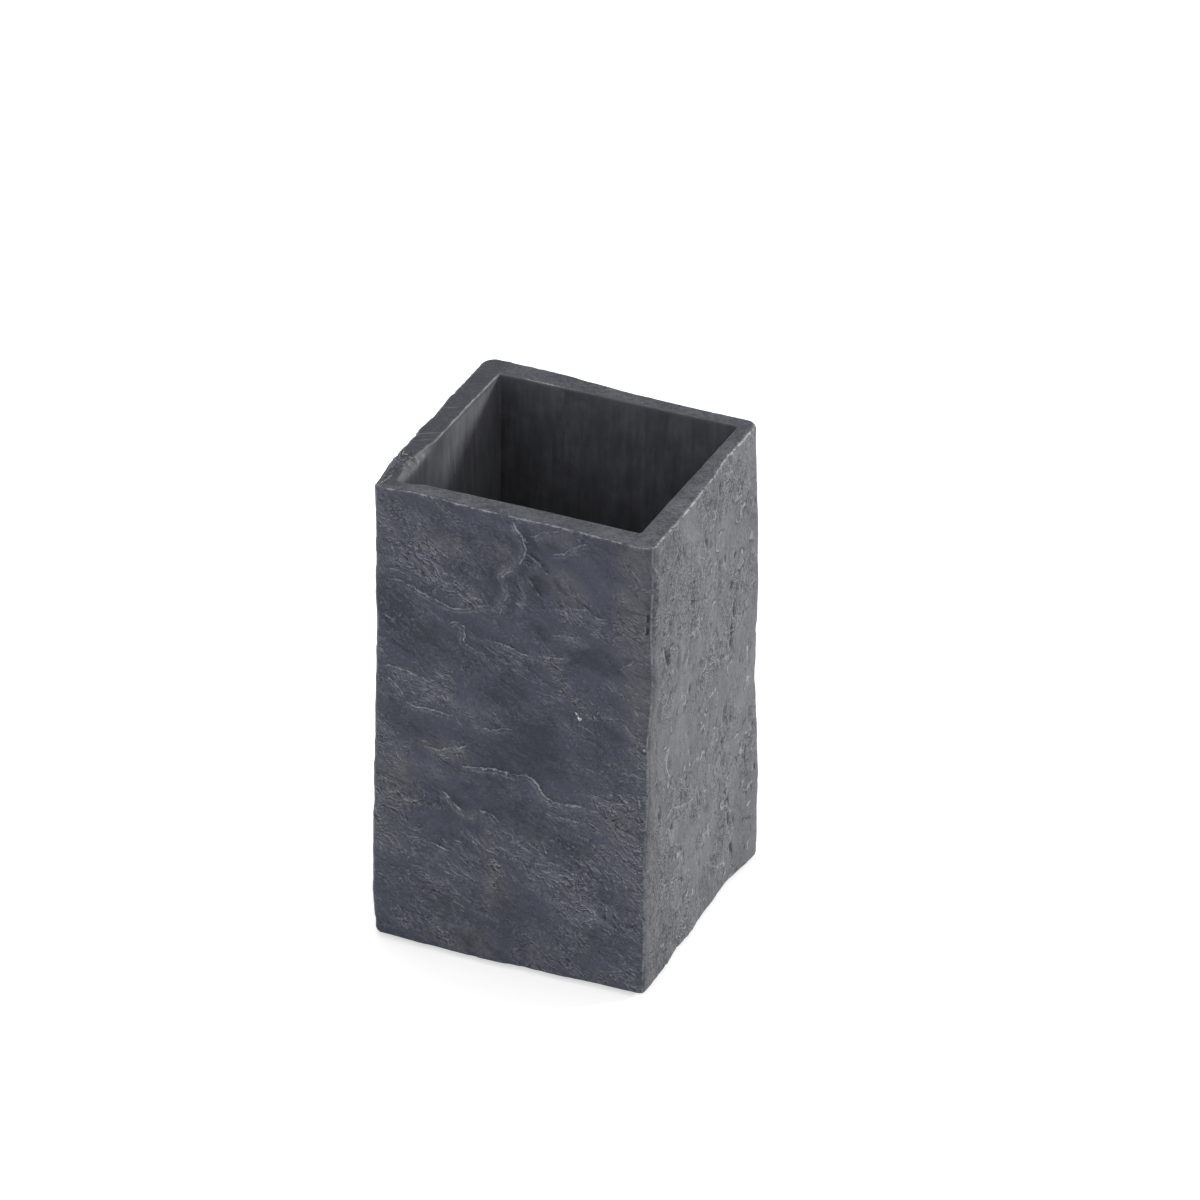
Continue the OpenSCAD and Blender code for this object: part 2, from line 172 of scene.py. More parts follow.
# Calm dark flats of the front, where the grain hardly shows
FRONT_CALM = [
    (18.5, 76.5, 8, 5, 1.4), (4, 52, 9, 4, 0.9), (10, 47.5, 8, 3, 0.8), (4.5, 36.5, 6, 4, 0.8),
    (-19, 72.5, 5, 3, 0.3), (7, 81.5, 6, 4, 0.7), (18.5, 95.5, 7, 6, 1.2), (-25, 15, 6, 8, 0.15),
    (-17, 52.5, 6, 4, 0.7), (-12, 40.5, 6, 3, 0.7), (2, 79, 6, 5, 0.5), (9.5, 97.5, 5, 4, 1.5),
    (0, 64, 9, 5, 0.4), (9, 56, 8, 5, 0.5), (6, 15, 8, 7, 0.7), (2.8, 99.5, 2.5, 3, 1.5),
    (6.7, 90.5, 3.5, 4, 1.9), (-8, 60.5, 4, 3, 1), (-19.3, 43.5, 3.5, 3.5, 1.2),
]
# Edges of scars in the broken right wall in mm, as (rise, fall, shine, points) with (y, z) points
RIGHT_LEDGES = [
    (0.2, 3, 0.35, [(5.2, 103.5), (8.1, 102.6), (13.3, 100.7), (15.2, 97.8), (16.6, 95.8)]),
    (0.2, 3, 0.55, [(-21.1, 88.8), (-18.5, 88.4), (-15.5, 86.9)]),
    (0.2, 3, 0.5, [(-17.8, 84.7), (-19, 83.3)]),
    (0.25, 4, 0.34, [(-15.5, 79.5), (-9.9, 74.2), (-6.4, 74.5), (-3.1, 70.7)]),
    (0.25, 4, 0.6, [(-25.5, 77.4), (-24, 77.9), (-21, 77)]),
    (0.25, 4, 0.28, [(-1.2, 68.4), (3.4, 62.5), (8.4, 58.9), (14.8, 57.3), (17, 57.2)]),
    (0.25, 3, 0.9, [(-20.9, 50.9), (-20.8, 48.8), (-19, 46.1)]),
    (0.2, 3, 0.45, [(-13.8, 42.9), (-10.5, 40.6), (-9.5, 38.1)]),
    (0.2, 3, 0.45, [(-8.6, 42.3), (-5.5, 42.9), (-2.9, 42.2), (-1.2, 42.3)]),
    (0.3, 4, 0.6, [(-21.4, 35.6), (-19.6, 36.7), (-16, 37.2), (-11.5, 35.2), (-8.7, 34.5),
        (-3.7, 34)]), (0.2, 3, 0.6, [(-18.3, 33.6), (-17.1, 31.1), (-16.1, 28.5)]),
    (0.2, 3, 0.45, [(-3.5, 22.8), (0.3, 21.8), (5, 21)]),
    (0.2, 3, 0.45, [(-1.5, 21), (2.2, 20.6)]), (0.2, 3, 0.45, [(-14.7, 26), (-11.6, 22.6)]),
    (0.2, 3, 0.45, [(-14.5, 11.9), (-12.5, 12.3), (-10.4, 11.8)]),
    (0.2, 3, 0.6, [(-25.2, 13.4), (-23.4, 10.7)]),
    (0.2, 3, 0.5, [(6.7, 11), (10.5, 8.6), (14.6, 7.4)]),
]
# Open cracks of the right wall, as (depth, width, points)
RIGHT_BREAKS = [
    (0.5, 0.9, [(5.9, 101.8), (6.6, 98)]), (0.5, 0.9, [(-1.6, 92.8), (-0.6, 91), (-0.2, 89.4)]),
    (0.4, 0.7, [(9.9, 82.9), (10.7, 80.5)]), (0.4, 0.7, [(14.1, 73.6), (14.5, 71.7)]),
    (0.6, 0.8, [(17.3, 69.3), (16.4, 67.1), (16.6, 65.6)]),
    (0.65, 0.9, [(15.6, 64.9), (15.1, 63.1), (15.3, 61.9), (14.6, 60.1), (15.4, 57.8)]),
    (0.5, 0.7, [(14.7, 74.8), (15.2, 73.4), (14.6, 72.2)]),
    (0.45, 0.7, [(16.9, 80.6), (16.4, 78.9)]),
    (0.6, 1, [(-23.2, 78.6), (-21.6, 76), (-20.5, 74.1), (-19.2, 71.1)]),
    (0.4, 0.7, [(-9.2, 69.1), (-9.7, 67.3)]), (0.3, 0.6, [(-8.4, 62.5), (-8.7, 59.9)]),
    (0.35, 0.7, [(2.2, 46.2), (0.7, 44.1)]), (0.6, 0.9, [(10.8, 39.9), (10.1, 38.4)]),
    (0.3, 0.7, [(-8.3, 47.9), (-7.6, 44.7)]), (0.35, 0.7, [(-9.7, 52.1), (-9.6, 50.7)]),
    (0.35, 0.7, [(27.8, 35.2), (28.1, 32.9)]), (0.35, 0.7, [(28.2, 25), (28.4, 22.8)]),
    (0.55, 0.9, [(16.6, 22.3), (15.2, 22), (13.6, 21)]),
    (0.55, 0.8, [(15.9, 18.7), (16.9, 16.4), (16.2, 15.3)]),
    (0.5, 0.8, [(18, 10.3), (19, 8), (18.7, 6.6)]), (0.35, 0.7, [(6.9, 13.1), (7.1, 11.6)]),
    (0.5, 0.8, [(-11.6, 18.6), (-11.1, 17.2)]), (0.4, 0.7, [(-9.9, 13.7), (-10, 11.6)]),
    (0.45, 1.2, [(-16.8, 33.4), (-16.5, 32.2)]),
]
RIGHT_SCUFFS = [
    (-14, 84, 14, 14, 0.6), (1, 99, 12, 6, 0.4), (15, 68, 7, 12, 0.5), (6, 61, 14, 5, 0.5),
    (-2, 44, 8, 6, 0.35), (0, 22, 8, 4, 0.4), (-26, 50, 4, 40, 0.4), (-22, 68, 6, 9, 0.8),
    (-25, 92, 5, 12, 0.5), (14, 20, 8, 14, 0.5), (-14, 30, 12, 16, 0.4), (-10, 12, 14, 9, 0.35),
    (24, 28, 5, 10, 0.5), (16, 42, 10, 6, 0.35),
]
RIGHT_RUST = [
    (24, 9, 6, 5, 0.5), (-18, 92, 8, 8, 0.3), (10, 12, 14, 5, 0.25),
]
RIGHT_CALM = [
    (-3, 46, 13, 5, 0.9), (24, 52, 6, 13, 0.9), (24, 19, 6, 8, 0.6), (8, 88, 8, 6, 0.5),
    (-12, 62, 7, 4, 0.6),
]
# What the split and the broken walls show: ledges, breaks, rust, scuffs and calm flats
SPLIT_FORMS = FRONT_LEDGES, FRONT_BREAKS, FRONT_RUST, FRONT_SCUFFS, FRONT_CALM
BROKEN_FORMS = RIGHT_LEDGES, RIGHT_BREAKS, RIGHT_RUST, RIGHT_SCUFFS, RIGHT_CALM
# Rounding of each wall's end corner at the base and at the rim, as shares of the plain rounding
CORNER_WEAR = np.array([[1.0, 2.0], [1.2, 2.0], [1.1, 2.0], [1.3, 1.5]])
# Wear of the rim's outer edge on each wall, as shares of the plain wear
RIM_EDGE_WEAR = np.array([1.0, 1.0, 0.4, 0.9])
# How bright the rim's outer edge and the mouth's edge are painted on each wall: partly wear, partly
# painted highlight, strongest where the key light falls
RIM_SHINE = np.array([0.62, 0.92, 0.25, 0.15])
MOUTH_SHINE = np.array([0.06, 0.08, 0.10, 0.50])
# Where the broken corner of the rim begins, as (x, y) points from the front edge to the mouth
CHIP_LINE = [(-30.4, -27.4), (-29.6, -22.4), (-28.8, -20.2), (-28.6, -16.5), (-28.4, -14.2),
             (-30.2, -13.7), (-32.6, -13.6)]
# The broken edge of the mouth on the left wall: outward in mm at each y
MOUTH_BREAK = (-25, -21, -16.3, -13.4, -9.3, -6.6), (0, 0.8, 1.25, 1.0, 0.4, 0)
# The draw line down the back of the cavity: x at each height, in mm
DRAW_LINE = (90, 96, 104), (-10.6, -11.4, -12.1)


def ease(value):
    """A smooth step from 0 to 1."""
    t = np.clip(value, 0, 1)
    return t * t * (3 - 2 * t)


def noise_at(points, size, seed=0):
    """Smooth noise from about -1 to 1, with grains of a size in mm, or one for each axis."""
    return np.array([noise.noise(p) for p in (points / np.array(size) + 31.7 * seed).tolist()])


def rough_at(points, size, octaves=3, seed=0):
    """Noise with finer and finer grains on top of each other."""
    return sum(noise_at(points, np.array(size) / 2 ** k, seed + k) / 2 ** k for k in range(octaves))


def shingle(value, drop):
    """A slow rise and a short drop in each whole step, like the edges of overlapping layers."""
    part = value - np.floor(value)
    return np.where(part < 1 - drop, part / (1 - drop), (1 - part) / drop)


def line_distance(places, line):
    """Signed distance to a line on a wall, positive above it, and the share of its length."""
    points = np.array(line, float)
    lengths = np.linalg.norm(np.diff(points, axis=0), axis=1)
    distance = np.full(len(places), 99.0)
    run = np.zeros(len(places))
    start = 0.0
    for a, b, length in zip(points, points[1:], lengths):
        d = b - a
        t = np.clip((places - a) @ d / length ** 2, 0, 1)
        off = places - a - t[:, None] * d
        gap = np.hypot(off[:, 0], off[:, 1])
        side = d[0] * off[:, 1] - d[1] * off[:, 0]
        near = gap < np.abs(distance)
        distance[near] = np.where(side < 0, -gap, gap)[near]
        run[near] = (start + t * length)[near]
        start += length
    return distance, run / start


def taper(run, share=0.2):
    """Fades a feature out over a share of its length at each end."""
    return ease(np.minimum(run, 1 - run) / share)


def patches(places, listed):
    """Soft oval patches on a wall, the strongest at each place."""
    value = np.zeros(len(places))
    for x, z, half_x, half_z, strength in listed:
        reach = np.hypot((places[:, 0] - x) / half_x, (places[:, 1] - z) / half_z)
        value = np.maximum(value, strength * ease(1.35 - reach))
    return value


def at_rest(mark):
    """The value of a mark where nothing is marked: lines are far away, amounts are nought."""
    return FAR if mark.endswith("line") else 0.0


class Carving:
    """The weathering of one wall: its relief in mm and the marks that its finish follows."""

    def __init__(self, places):
        self.places = places
        self.relief = np.zeros(len(places))
        self.marks = {name: np.full(len(places), at_rest(name)) for name in
                      ("light_line", "light_amount", "dark_line", "dark_amount")}

    def mark(self, kind, distance, amount, reach=1.4):
        """Keeps the nearest line of a kind, and how strongly it shows."""
        near = np.abs(distance) < np.abs(self.marks[kind + "_line"])
        self.marks[kind + "_line"][near] = distance[near]
        shown = amount * ease((reach - np.abs(distance)) / 0.4)
        self.marks[kind + "_amount"][near] = shown[near]

    def each(self, listed):
        """The sizes of each listed feature, and how each place lies to its line."""
        for *sizes, line in listed:
            yield (*sizes, *line_distance(self.places, line))

    def ledges(self, listed):
        for rise, fall, shine, distance, run in self.each(listed):
            below = ease(0.5 - distance / 0.6)
            thinned = np.clip(1 + distance / fall, 0, 1) ** 1.4
            self.relief += rise * taper(run) * below * thinned
            self.mark("light", distance, shine * taper(run, 0.12))

    def ridges(self, listed):
        for rise, half_width, distance, run in self.each(listed):
            crown = ease(1 - np.abs(distance) / half_width)
            groove = ease(1 - np.abs(distance - 1.5 * half_width) / half_width)
            self.relief += rise * taper(run) * (crown - 0.8 * groove)
            self.mark("light", distance - 0.4 * half_width, 0.75 * taper(run, 0.06))

    def breaks(self, listed):
        for depth, width, distance, run in self.each(listed):
            self.relief -= depth * taper(run, 0.3) * ease(1 - np.abs(distance) / width)
            self.mark("dark", distance, min(1.0, depth / 0.5) * taper(run, 0.25), 2.2)

    def chips(self, listed):
        for line in listed:
            distance, run = line_distance(self.places, line)
            self.mark("light", distance, 3.0 * taper(run, 0.1))

    def paint(self, rust, scuffs, calm):
        for name, listed in (("rust", rust), ("scuff", scuffs), ("calm", calm)):
            self.marks[name] = patches(self.places, listed)


def upside_down(forms, middle):
    """The forms of a wall turned upside down, for the wall on the other side of the block."""
    ledges, breaks, *painted = forms
    lines = [[(*item[:-1], [(x, 2 * middle - z) for x, z in item[-1]]) for item in listed]
             for listed in (ledges, breaks)]
    return lines + [[(x, 2 * middle - z, *rest) for x, z, *rest in listed] for listed in painted]


class Outline:
    """Stations round the block: wall, share along the wall and outward direction at each one."""

    def __init__(self, columns):
        stations = []
        for wall in range(4):
            stations += [(wall, j / columns, 0) for j in range(columns + 1)]
            stations += [(wall, 1, 90 * k / CORNER_STEPS) for k in range(1, CORNER_STEPS)]
        wall, share, turn = zip(*stations)
        self.wall = np.array(wall)
        self.share = np.array(share, float)
        self.turn = np.radians(np.array(turn, float))
        cos, sin = np.cos(self.turn)[:, None], np.sin(self.turn)[:, None]
        self.normal = OUTWARD[self.wall] * cos + ALONG[self.wall] * sin
        self.count = len(stations)
        # How much of each station belongs to each wall, all of it except round the corners
        self.weight = np.maximum(self.normal @ OUTWARD.T, 0) ** 2

    def ring(self, corners, radii):
        """Plan points of the ring through four sharp corners, each at the end of its wall."""
        start, end = np.roll(corners, 1, axis=0)[self.wall], corners[self.wall]
        out, along = OUTWARD[self.wall], ALONG[self.wall]
        at_start, at_end = np.roll(radii, 1)[self.wall, None], radii[self.wall, None]
        first, last = start + at_start * along, end - at_end * along
        flat = first + (last - first) * self.share[:, None]
        bend = end - at_end * (out + along) + at_end * self.normal
        return np.where(self.turn[:, None] > 0, bend, flat)

    def box(self, half_x, half_y, radius, turn):
        """Plan points of a ring round a rectangle turned clockwise by an angle."""
        corners = np.array([[half_x, -half_y], [half_x, half_y],
                            [-half_x, half_y], [-half_x, -half_y]])
        plan = self.ring(corners, np.full(4, radius))
        c, s = math.cos(turn), math.sin(turn)
        return plan @ np.array([[c, -s], [s, c]])


def blur(grid, sigma):
    """Evens out a grid of rings and stations. The stations run on round the block."""
    reach = int(3 * sigma + 0.5)
    weights = np.exp(-0.5 * (np.arange(-reach, reach + 1) / sigma) ** 2)
    weights /= weights.sum()
    tall = np.pad(grid, ((reach, reach), (0, 0)), mode="edge")
    grid = sum(w * tall[k:k + len(grid)] for k, w in enumerate(weights))
    wide = np.pad(grid, ((0, 0), (reach, reach)), mode="wrap")
    return sum(w * wide[:, k:k + grid.shape[1]] for k, w in enumerate(weights))


def profile(rows, rim_rows, cavity_rows):
    """Kind and value of each ring: an angle on a worn edge, otherwise a share."""
    def bends(kind, *degrees):
        return [(kind, math.radians(a)) for a in degrees]

    return (bends(BASE, 0, 30, 60) + [(WALL, k / rows) for k in range(rows + 1)]
            + bends(EDGE, 30, 60, 90) + [(RIM, k / rim_rows) for k in range(1, rim_rows + 1)]
            + bends(MOUTH, 30, 60, 90)
            + [(CAVITY, (k / cavity_rows) ** 1.4) for k in range(1, cavity_rows + 1)]
            + bends(FILLET, 30, 60, 90))


def split_relief(p, layer, grain_angle):
    """Relief of walls split along the layers, in mm: shingled layers and fine furrows."""
    c, s = math.cos(grain_angle), math.sin(grain_angle)
    grain = np.stack([p[:, 0] * c - p[:, 2] * s, p[:, 1], p[:, 0] * s + p[:, 2] * c], 1)
    wide = grain[:, 2] / 11 + 2.2 * rough_at(grain, (19, 19, 9), 3, 1)
    fine = grain[:, 2] / 5 + 2.0 * rough_at(grain, (9, 9, 4.5), 3, 5)
    some = ease(0.5 + 1.6 * noise_at(grain, (19, 19, 11), 9))
    others = ease(0.4 + 1.6 * noise_at(grain, (13, 13, 8), 12))
    furrows = rough_at(grain, (5, 5, 1.9), 2, 15)
    return layer * ((shingle(wide, 0.10) - 0.4) * some + 0.5 * (shingle(fine, 0.18) - 0.4) * others
                    + 0.3 * furrows)


def broken_relief(p, rib):
    """Relief of walls broken across the layers, in mm: low ribs, scars, grit and small pits."""
    ribs = rough_at(p, (14, 6, 18), 3, 21)
    grit = rough_at(p, (2.2, 1.7, 2.8), 2, 25)
    pits = ease((noise_at(p, (5, 1.9, 5.5), 28) - 0.42) / 0.2)
    scars = shingle(1.7 * rough_at(p, (11, 7, 10), 3, 30), 0.12) - 0.45
    return rib * (0.8 * ribs + 0.12 * grit - 1.8 * pits + 0.7 * scars)


class Skin:
    """All points of the casting's skin, ring by ring, in mm."""

    def __init__(self, sizes):
        self.sizes = sizes
        self.outline = Outline(sizes.columns)
        self.rings = profile(sizes.rows, sizes.rim_rows, sizes.cavity_rows)
        self.kind = np.array([kind for kind, _ in self.rings])
        self.low, self.high = (np.array(v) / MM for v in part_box(BODY))
        mesh = frame["nodes"][BODY].data
        self.cad = np.array([v.co for v in mesh.vertices]) / MM
        self.tree = BVHTree.FromPolygons([Vector(p) for p in self.cad],
                                         [tuple(p.vertices) for p in mesh.polygons])
        self.worn = sizes.rim_wear / MM * self.outline.weight @ RIM_EDGE_WEAR
        self.base_worn = sizes.base_wear / MM
        self.points = np.zeros((len(self.rings), self.outline.count, 3))
        self.marks = {}
        self.find_walls()
        self.carve()
        self.lay_walls()
        self.lay_rim_and_cavity()
        self.points = np.clip(self.points, self.low, self.high)
        self.measure_edges()
        self.shade_rim_and_cavity()

    def each(self, kind):
        """Number and value of each ring of a kind."""
        return [(k, value) for k, (ring, value) in enumerate(self.rings) if ring == kind]

    def lay(self, k, plan, height):
        self.points[k, :, :2] = plan
        self.points[k, :, 2] = height

    def radii(self, heights):
        """Rounding of the four upright corners in mm at each height."""
        share = (heights - self.low[2]) / (self.high[2] - self.low[2])
        base, rim = CORNER_WEAR.T
        wear = base + ease(2 * share - 1)[:, None] * (rim - base)
        return self.sizes.corner_radius / MM * wear

    def corners(self, heights):
        """The four upright edges of the block, sharpened, at each height."""
        found = []
        spacing, half_slab, smoothing = 2.5, 2.2, (0.1, 0.2, 0.4, 0.2, 0.1)
        levels = np.arange(self.low[2] + spacing, self.high[2] - 2, spacing)
        diagonals = OUTWARD + ALONG
        for z, radii in zip(levels, self.radii(levels)):
            near = self.cad[np.abs(self.cad[:, 2] - z) < half_slab][:, :2]
            apex = near[np.argmax(near @ diagonals.T, axis=0)]
            found.append(apex + (1 - math.sqrt(0.5)) * radii[:, None] * diagonals)
        found = np.array(found).reshape(len(levels), 8)
        padded = np.pad(found, ((2, 2), (0, 0)), mode="edge")
        found = sum(w * padded[k:k + len(levels)] for k, w in enumerate(smoothing))
        return np.stack([np.interp(heights, levels, found[:, j]) for j in range(8)],
                        1).reshape(-1, 4, 2)

    def rim_height(self, plan):
        """Height of the CAD rim at each plan point. A point that misses the rim has no height."""
        above, deepest = self.high[2] + 5, self.high[2] - 4
        hits = [self.tree.ray_cast(Vector((x, y, above)), Vector((0, 0, -1)))[0] for x, y in plan]
        return np.array([hit.z if hit is not None and hit.z > deepest else np.nan
                         for hit in hits])

    def find_walls(self):
        """Casts the block's rings onto the CAD walls, so that both have the same forms."""
        line = self.outline
        rim_inset, stand_off, evening = 1.8, 8.0, 2.0
        highest = self.high[2:]
        top = line.ring(self.corners(highest)[0], self.radii(highest)[0])
        self.rim_z = self.rim_height(top - rim_inset * line.normal)
        missing = np.isnan(self.rim_z)
        self.rim_z[missing] = np.interp(np.flatnonzero(missing), np.flatnonzero(~missing),
                                        self.rim_z[~missing])
        shares = np.array([share for _, share in self.each(WALL)])
        lowest = self.low[2] + self.base_worn
        self.wall_z = lowest + shares[:, None] * (self.rim_z - self.worn - lowest)
        levels = self.wall_z.mean(axis=1)
        self.radius = self.radii(levels)
        self.plan = np.stack([line.ring(c, r) for c, r in zip(self.corners(levels), self.radius)])
        offset = np.zeros(self.plan.shape[:2])
        for i in range(line.count):
            out = Vector((*line.normal[i], 0))
            for k in range(len(shares)):
                start = Vector((*self.plan[k, i], self.wall_z[k, i])) + stand_off * out
                gap = self.tree.ray_cast(start, -out, 2 * stand_off)[3]
                offset[k, i] = stand_off - gap if gap is not None else 0.0
        self.offset = blur(offset, evening)

    def carve(self):
        """Weathers the walls: noise in three dimensions, then each wall's own features."""
        line, sizes = self.outline, self.sizes
        base = np.concatenate([self.plan, self.wall_z[:, :, None]], axis=2)
        flat = base.reshape(-1, 3)
        weight = np.tile(line.weight, (len(base), 1))
        split = weight[:, FRONT] + weight[:, BACK]
        on_split, on_broken = split > 0, split < 1
        relief = np.zeros(len(flat))
        relief[on_split] += split[on_split] * split_relief(
            flat[on_split], sizes.layer_rise / MM, sizes.grain_dip)
        relief[on_broken] += (1 - split[on_broken]) * broken_relief(
            flat[on_broken], sizes.rib_rise / MM)
        marks = {"split": split}
        strongest = np.argmax(weight, axis=1)
        for wall, across in ((FRONT, 0), (RIGHT, 1), (BACK, 0), (LEFT, 1)):
            mine = weight[:, wall] > 0
            carving = Carving(flat[mine][:, (across, 2)])
            self.carve_wall(carving, wall)
            relief[mine] += weight[mine, wall] * carving.relief * sizes.feature_rise
            owned = strongest[mine] == wall
            for name, values in carving.marks.items():
                full = marks.setdefault(name, np.full(len(flat), at_rest(name)))
                full[np.flatnonzero(mine)[owned]] = values[owned]
        # Chips along the upright corners
        chip_size, chip_reach = (3, 3, 6), 2.4
        chipped = ease((noise_at(flat, chip_size, 40) - 0.08) / 0.3)
        near_corner = ease(1 - self.corner_gap().reshape(-1) / chip_reach)
        relief -= sizes.corner_chips / MM * chipped * near_corner
        shape = self.plan.shape[:2]
        self.relief = relief.reshape(shape)
        for name, values in marks.items():
            self.spread(name, values.reshape(shape))

    def carve_wall(self, carving, wall):
        """Cuts a wall's features. The back and left walls have the others' forms upside down."""
        forms = SPLIT_FORMS if wall in (FRONT, BACK) else BROKEN_FORMS
        if wall in (BACK, LEFT):
            forms = upside_down(forms, (self.low[2] + self.high[2]) / 2)
        ledges, breaks, *painted = forms
        carving.ledges(ledges)
        if wall == FRONT:
            carving.ridges(FRONT_RIDGES)
        carving.breaks(breaks)
        if wall == FRONT:
            carving.chips(FRONT_CHIPS)
        carving.paint(*painted)

    def spread(self, name, values):
        """Keeps a mark of the walls, carried on over the worn edges below and above them."""
        full = np.full(self.points.shape[:2], at_rest(name))
        full[self.kind == WALL] = values
        full[self.kind == BASE] = values[0]
        full[self.kind == EDGE] = values[-1]
        self.marks[name] = full

    def corner_gap(self):
        """Distance in mm along the outline from the nearest upright corner, at each wall point."""
        line = self.outline
        ring_length = np.linalg.norm(np.diff(self.plan, axis=1), axis=2).sum(axis=1) / 4
        straight = np.minimum(line.share, 1 - line.share)[None, :] * ring_length[:, None]
        nearest = np.where(line.share < 0.5, (line.wall + 3) % 4, line.wall)
        radius = self.radius[:, nearest]
        bend = radius * np.abs(line.turn - math.pi / 4)
        return np.where(line.turn > 0, bend, straight + radius * math.pi / 4)

    def lay_walls(self):
        line = self.outline
        out = self.offset + self.relief
        plan = self.plan + out[:, :, None] * line.normal
        for k, (ring, _) in enumerate(self.each(WALL)):
            self.lay(ring, plan[k], self.wall_z[k])
        for k, a in self.each(BASE):
            self.lay(k, plan[0] - self.base_worn * (1 - math.sin(a)) * line.normal,
                     self.low[2] + self.base_worn * (1 - math.cos(a)))
        self.spread("crest", np.clip((out - blur(out, 2.4)) / 0.12, -1, 1))

    def lay_rim_and_cavity(self):
        line, sizes = self.outline, self.sizes
        top = self.points[self.each(WALL)[-1][0], :, :2]
        for k, a in self.each(EDGE):
            self.lay(k, top - (self.worn * (1 - math.cos(a)))[:, None] * line.normal,
                     self.rim_z - self.worn * (1 - math.sin(a)))
        lip = sizes.mouth_wear / MM
        half_x = (self.high[0] - self.low[0]) / 2 - sizes.side_wall / MM
        half_y = (self.high[1] - self.low[1]) / 2 - sizes.front_wall / MM

        def mouth_ring(inset):
            return line.box(half_x - inset, half_y - inset, sizes.cavity_radius / MM,
                            sizes.core_turn)

        mouth = mouth_ring(0)
        level = np.c_[mouth, np.zeros(line.count)]
        broken = np.interp(mouth[:, 1], *MOUTH_BREAK) * line.weight[:, LEFT]
        broken *= 1 + 0.5 * noise_at(level, 1.4, 47)
        uneven = 0.10 * noise_at(level, 3, 44)
        outer = top - self.worn[:, None] * line.normal
        ragged = (broken + uneven)[:, None] * line.normal
        first = mouth_ring(-lip) + ragged
        for k, share in self.each(RIM):
            self.points[k, :, :2] = outer + share * (first - outer)
        self.shape_rim_top()
        rim_end = self.points[self.each(RIM)[-1][0], :, 2]
        for k, a in self.each(MOUTH):
            self.lay(k, mouth_ring(lip * (math.sin(a) - 1)) + ragged,
                     rim_end - lip * (1 - math.cos(a)))
        slope = math.tan(sizes.draft)
        floor_z = self.low[2] + sizes.bottom / MM
        fillet = sizes.floor_radius / MM
        deepest = floor_z + fillet
        break_depth = 1.9
        for k, share in self.each(CAVITY):
            z = rim_end - lip + share * (deepest - rim_end + lip)
            depth = self.high[2] - z
            faded = np.clip(1 - depth / break_depth, 0, 1)
            inset = slope * depth - (broken + uneven) * faded
            self.lay(k, mouth - inset[:, None] * line.normal, z)
        for k, a in self.each(FILLET):
            self.lay(k, mouth_ring(slope * (self.high[2] - deepest) + fillet * (1 - math.cos(a))),
                     floor_z + fillet * (1 - math.sin(a)))

    def shape_rim_top(self):
        """The cut top of the rim, with its broken front left corner."""
        rows = self.kind == RIM
        edge = self.each(EDGE)[-1][0]
        plan = self.points[rows][:, :, :2].reshape(-1, 2)
        z = self.rim_height(plan).reshape(-1, self.outline.count)
        z = np.where(np.isnan(z), self.rim_z[None, :], z)
        flat = np.c_[plan, np.zeros(len(plan))]
        grit = 0.035 * rough_at(flat, 3, 3, 50).reshape(z.shape)
        inside, _ = line_distance(plan, CHIP_LINE)
        sunk = ease(0.5 + inside / 0.7) * ease((-12.8 - plan[:, 1]) / 1.2)
        sunk = (sunk * (plan[:, 0] < -26)).reshape(z.shape)
        lumps = rough_at(flat, 3.2, 3, 55).reshape(z.shape)
        z = z + grit - sunk * self.sizes.chip_drop / MM * (0.75 + 0.7 * lumps)
        self.points[rows, :, 2] = np.minimum(z, self.high[2])
        self.points[self.kind == EDGE, :, 2] += self.points[rows][0, :, 2] - self.points[edge, :, 2]
        self.marks["light_line"][rows] = inside.reshape(z.shape)
        chipped = self.marks["chipped"] = np.zeros(self.points.shape[:2])
        chipped[rows] = sunk
        chipped[self.kind == EDGE] = sunk[0]

    def measure_edges(self):
        """Distances in mm from the worn edges, and how bright each edge is painted, partly as wear
        and partly as painted highlight.
        """
        line = self.outline
        steps = np.linalg.norm(np.diff(self.points, axis=0), axis=2)
        run = np.vstack([np.zeros(line.count), np.cumsum(steps, axis=0)])
        mouth = self.each(MOUTH)[0][0]
        for name, ring in (("rim_line", self.each(EDGE)[1][0]), ("mouth_line", mouth)):
            self.marks[name] = np.clip(run - run[ring], -FAR, FAR)
        gap = self.corner_gap()
        self.spread("corner_line", np.minimum(gap, FAR))
        rim_shine = line.weight @ RIM_SHINE * (0.45 + 0.55 * ease((gap[-1] - 0.4) / 2.0))
        mouth_x, mouth_y = self.points[mouth, :, :2].T
        mouth_shine = line.weight @ MOUTH_SHINE * ease(0.75 + mouth_y / 40)
        mouth_shine += line.weight[:, BACK] * np.interp(mouth_x, (-21, -19, -10, -8.5),
                                                        (0, 0.6, 0.6, 0))
        for name, shine in (("rim_shine", rim_shine), ("mouth_shine", mouth_shine)):
            self.marks[name] = np.tile(shine, (len(self.rings), 1))

    def shade_rim_and_cavity(self):
        """Where the rim is shaded dark, where the walls darken, and where shade and light are
        painted on the cavity's inner left wall.
        """
        marks, kind, weight = self.marks, self.kind, self.outline.weight
        rim, cavity, inside = kind == RIM, kind == CAVITY, (kind == CAVITY) | (kind == FILLET)
        x, y, z = np.moveaxis(self.points, 2, 0)
        # The rim is dark on the left and at the back, and in spots along the front
        spots = np.interp(x, (-27, -19, -8, 4, 13, 22), (0, 0.18, 0.06, 0.20, 0.32, 0))
        marks["rim_shade"] = np.maximum.reduce([
            0.70 * ease((-24 - x) / 4) * ease((y + 30) / 5), 0.30 * ease((y - 24) / 4),
            spots * ease((-24 - y) / 3), 0.10 * ease((y - 2) / 12)])
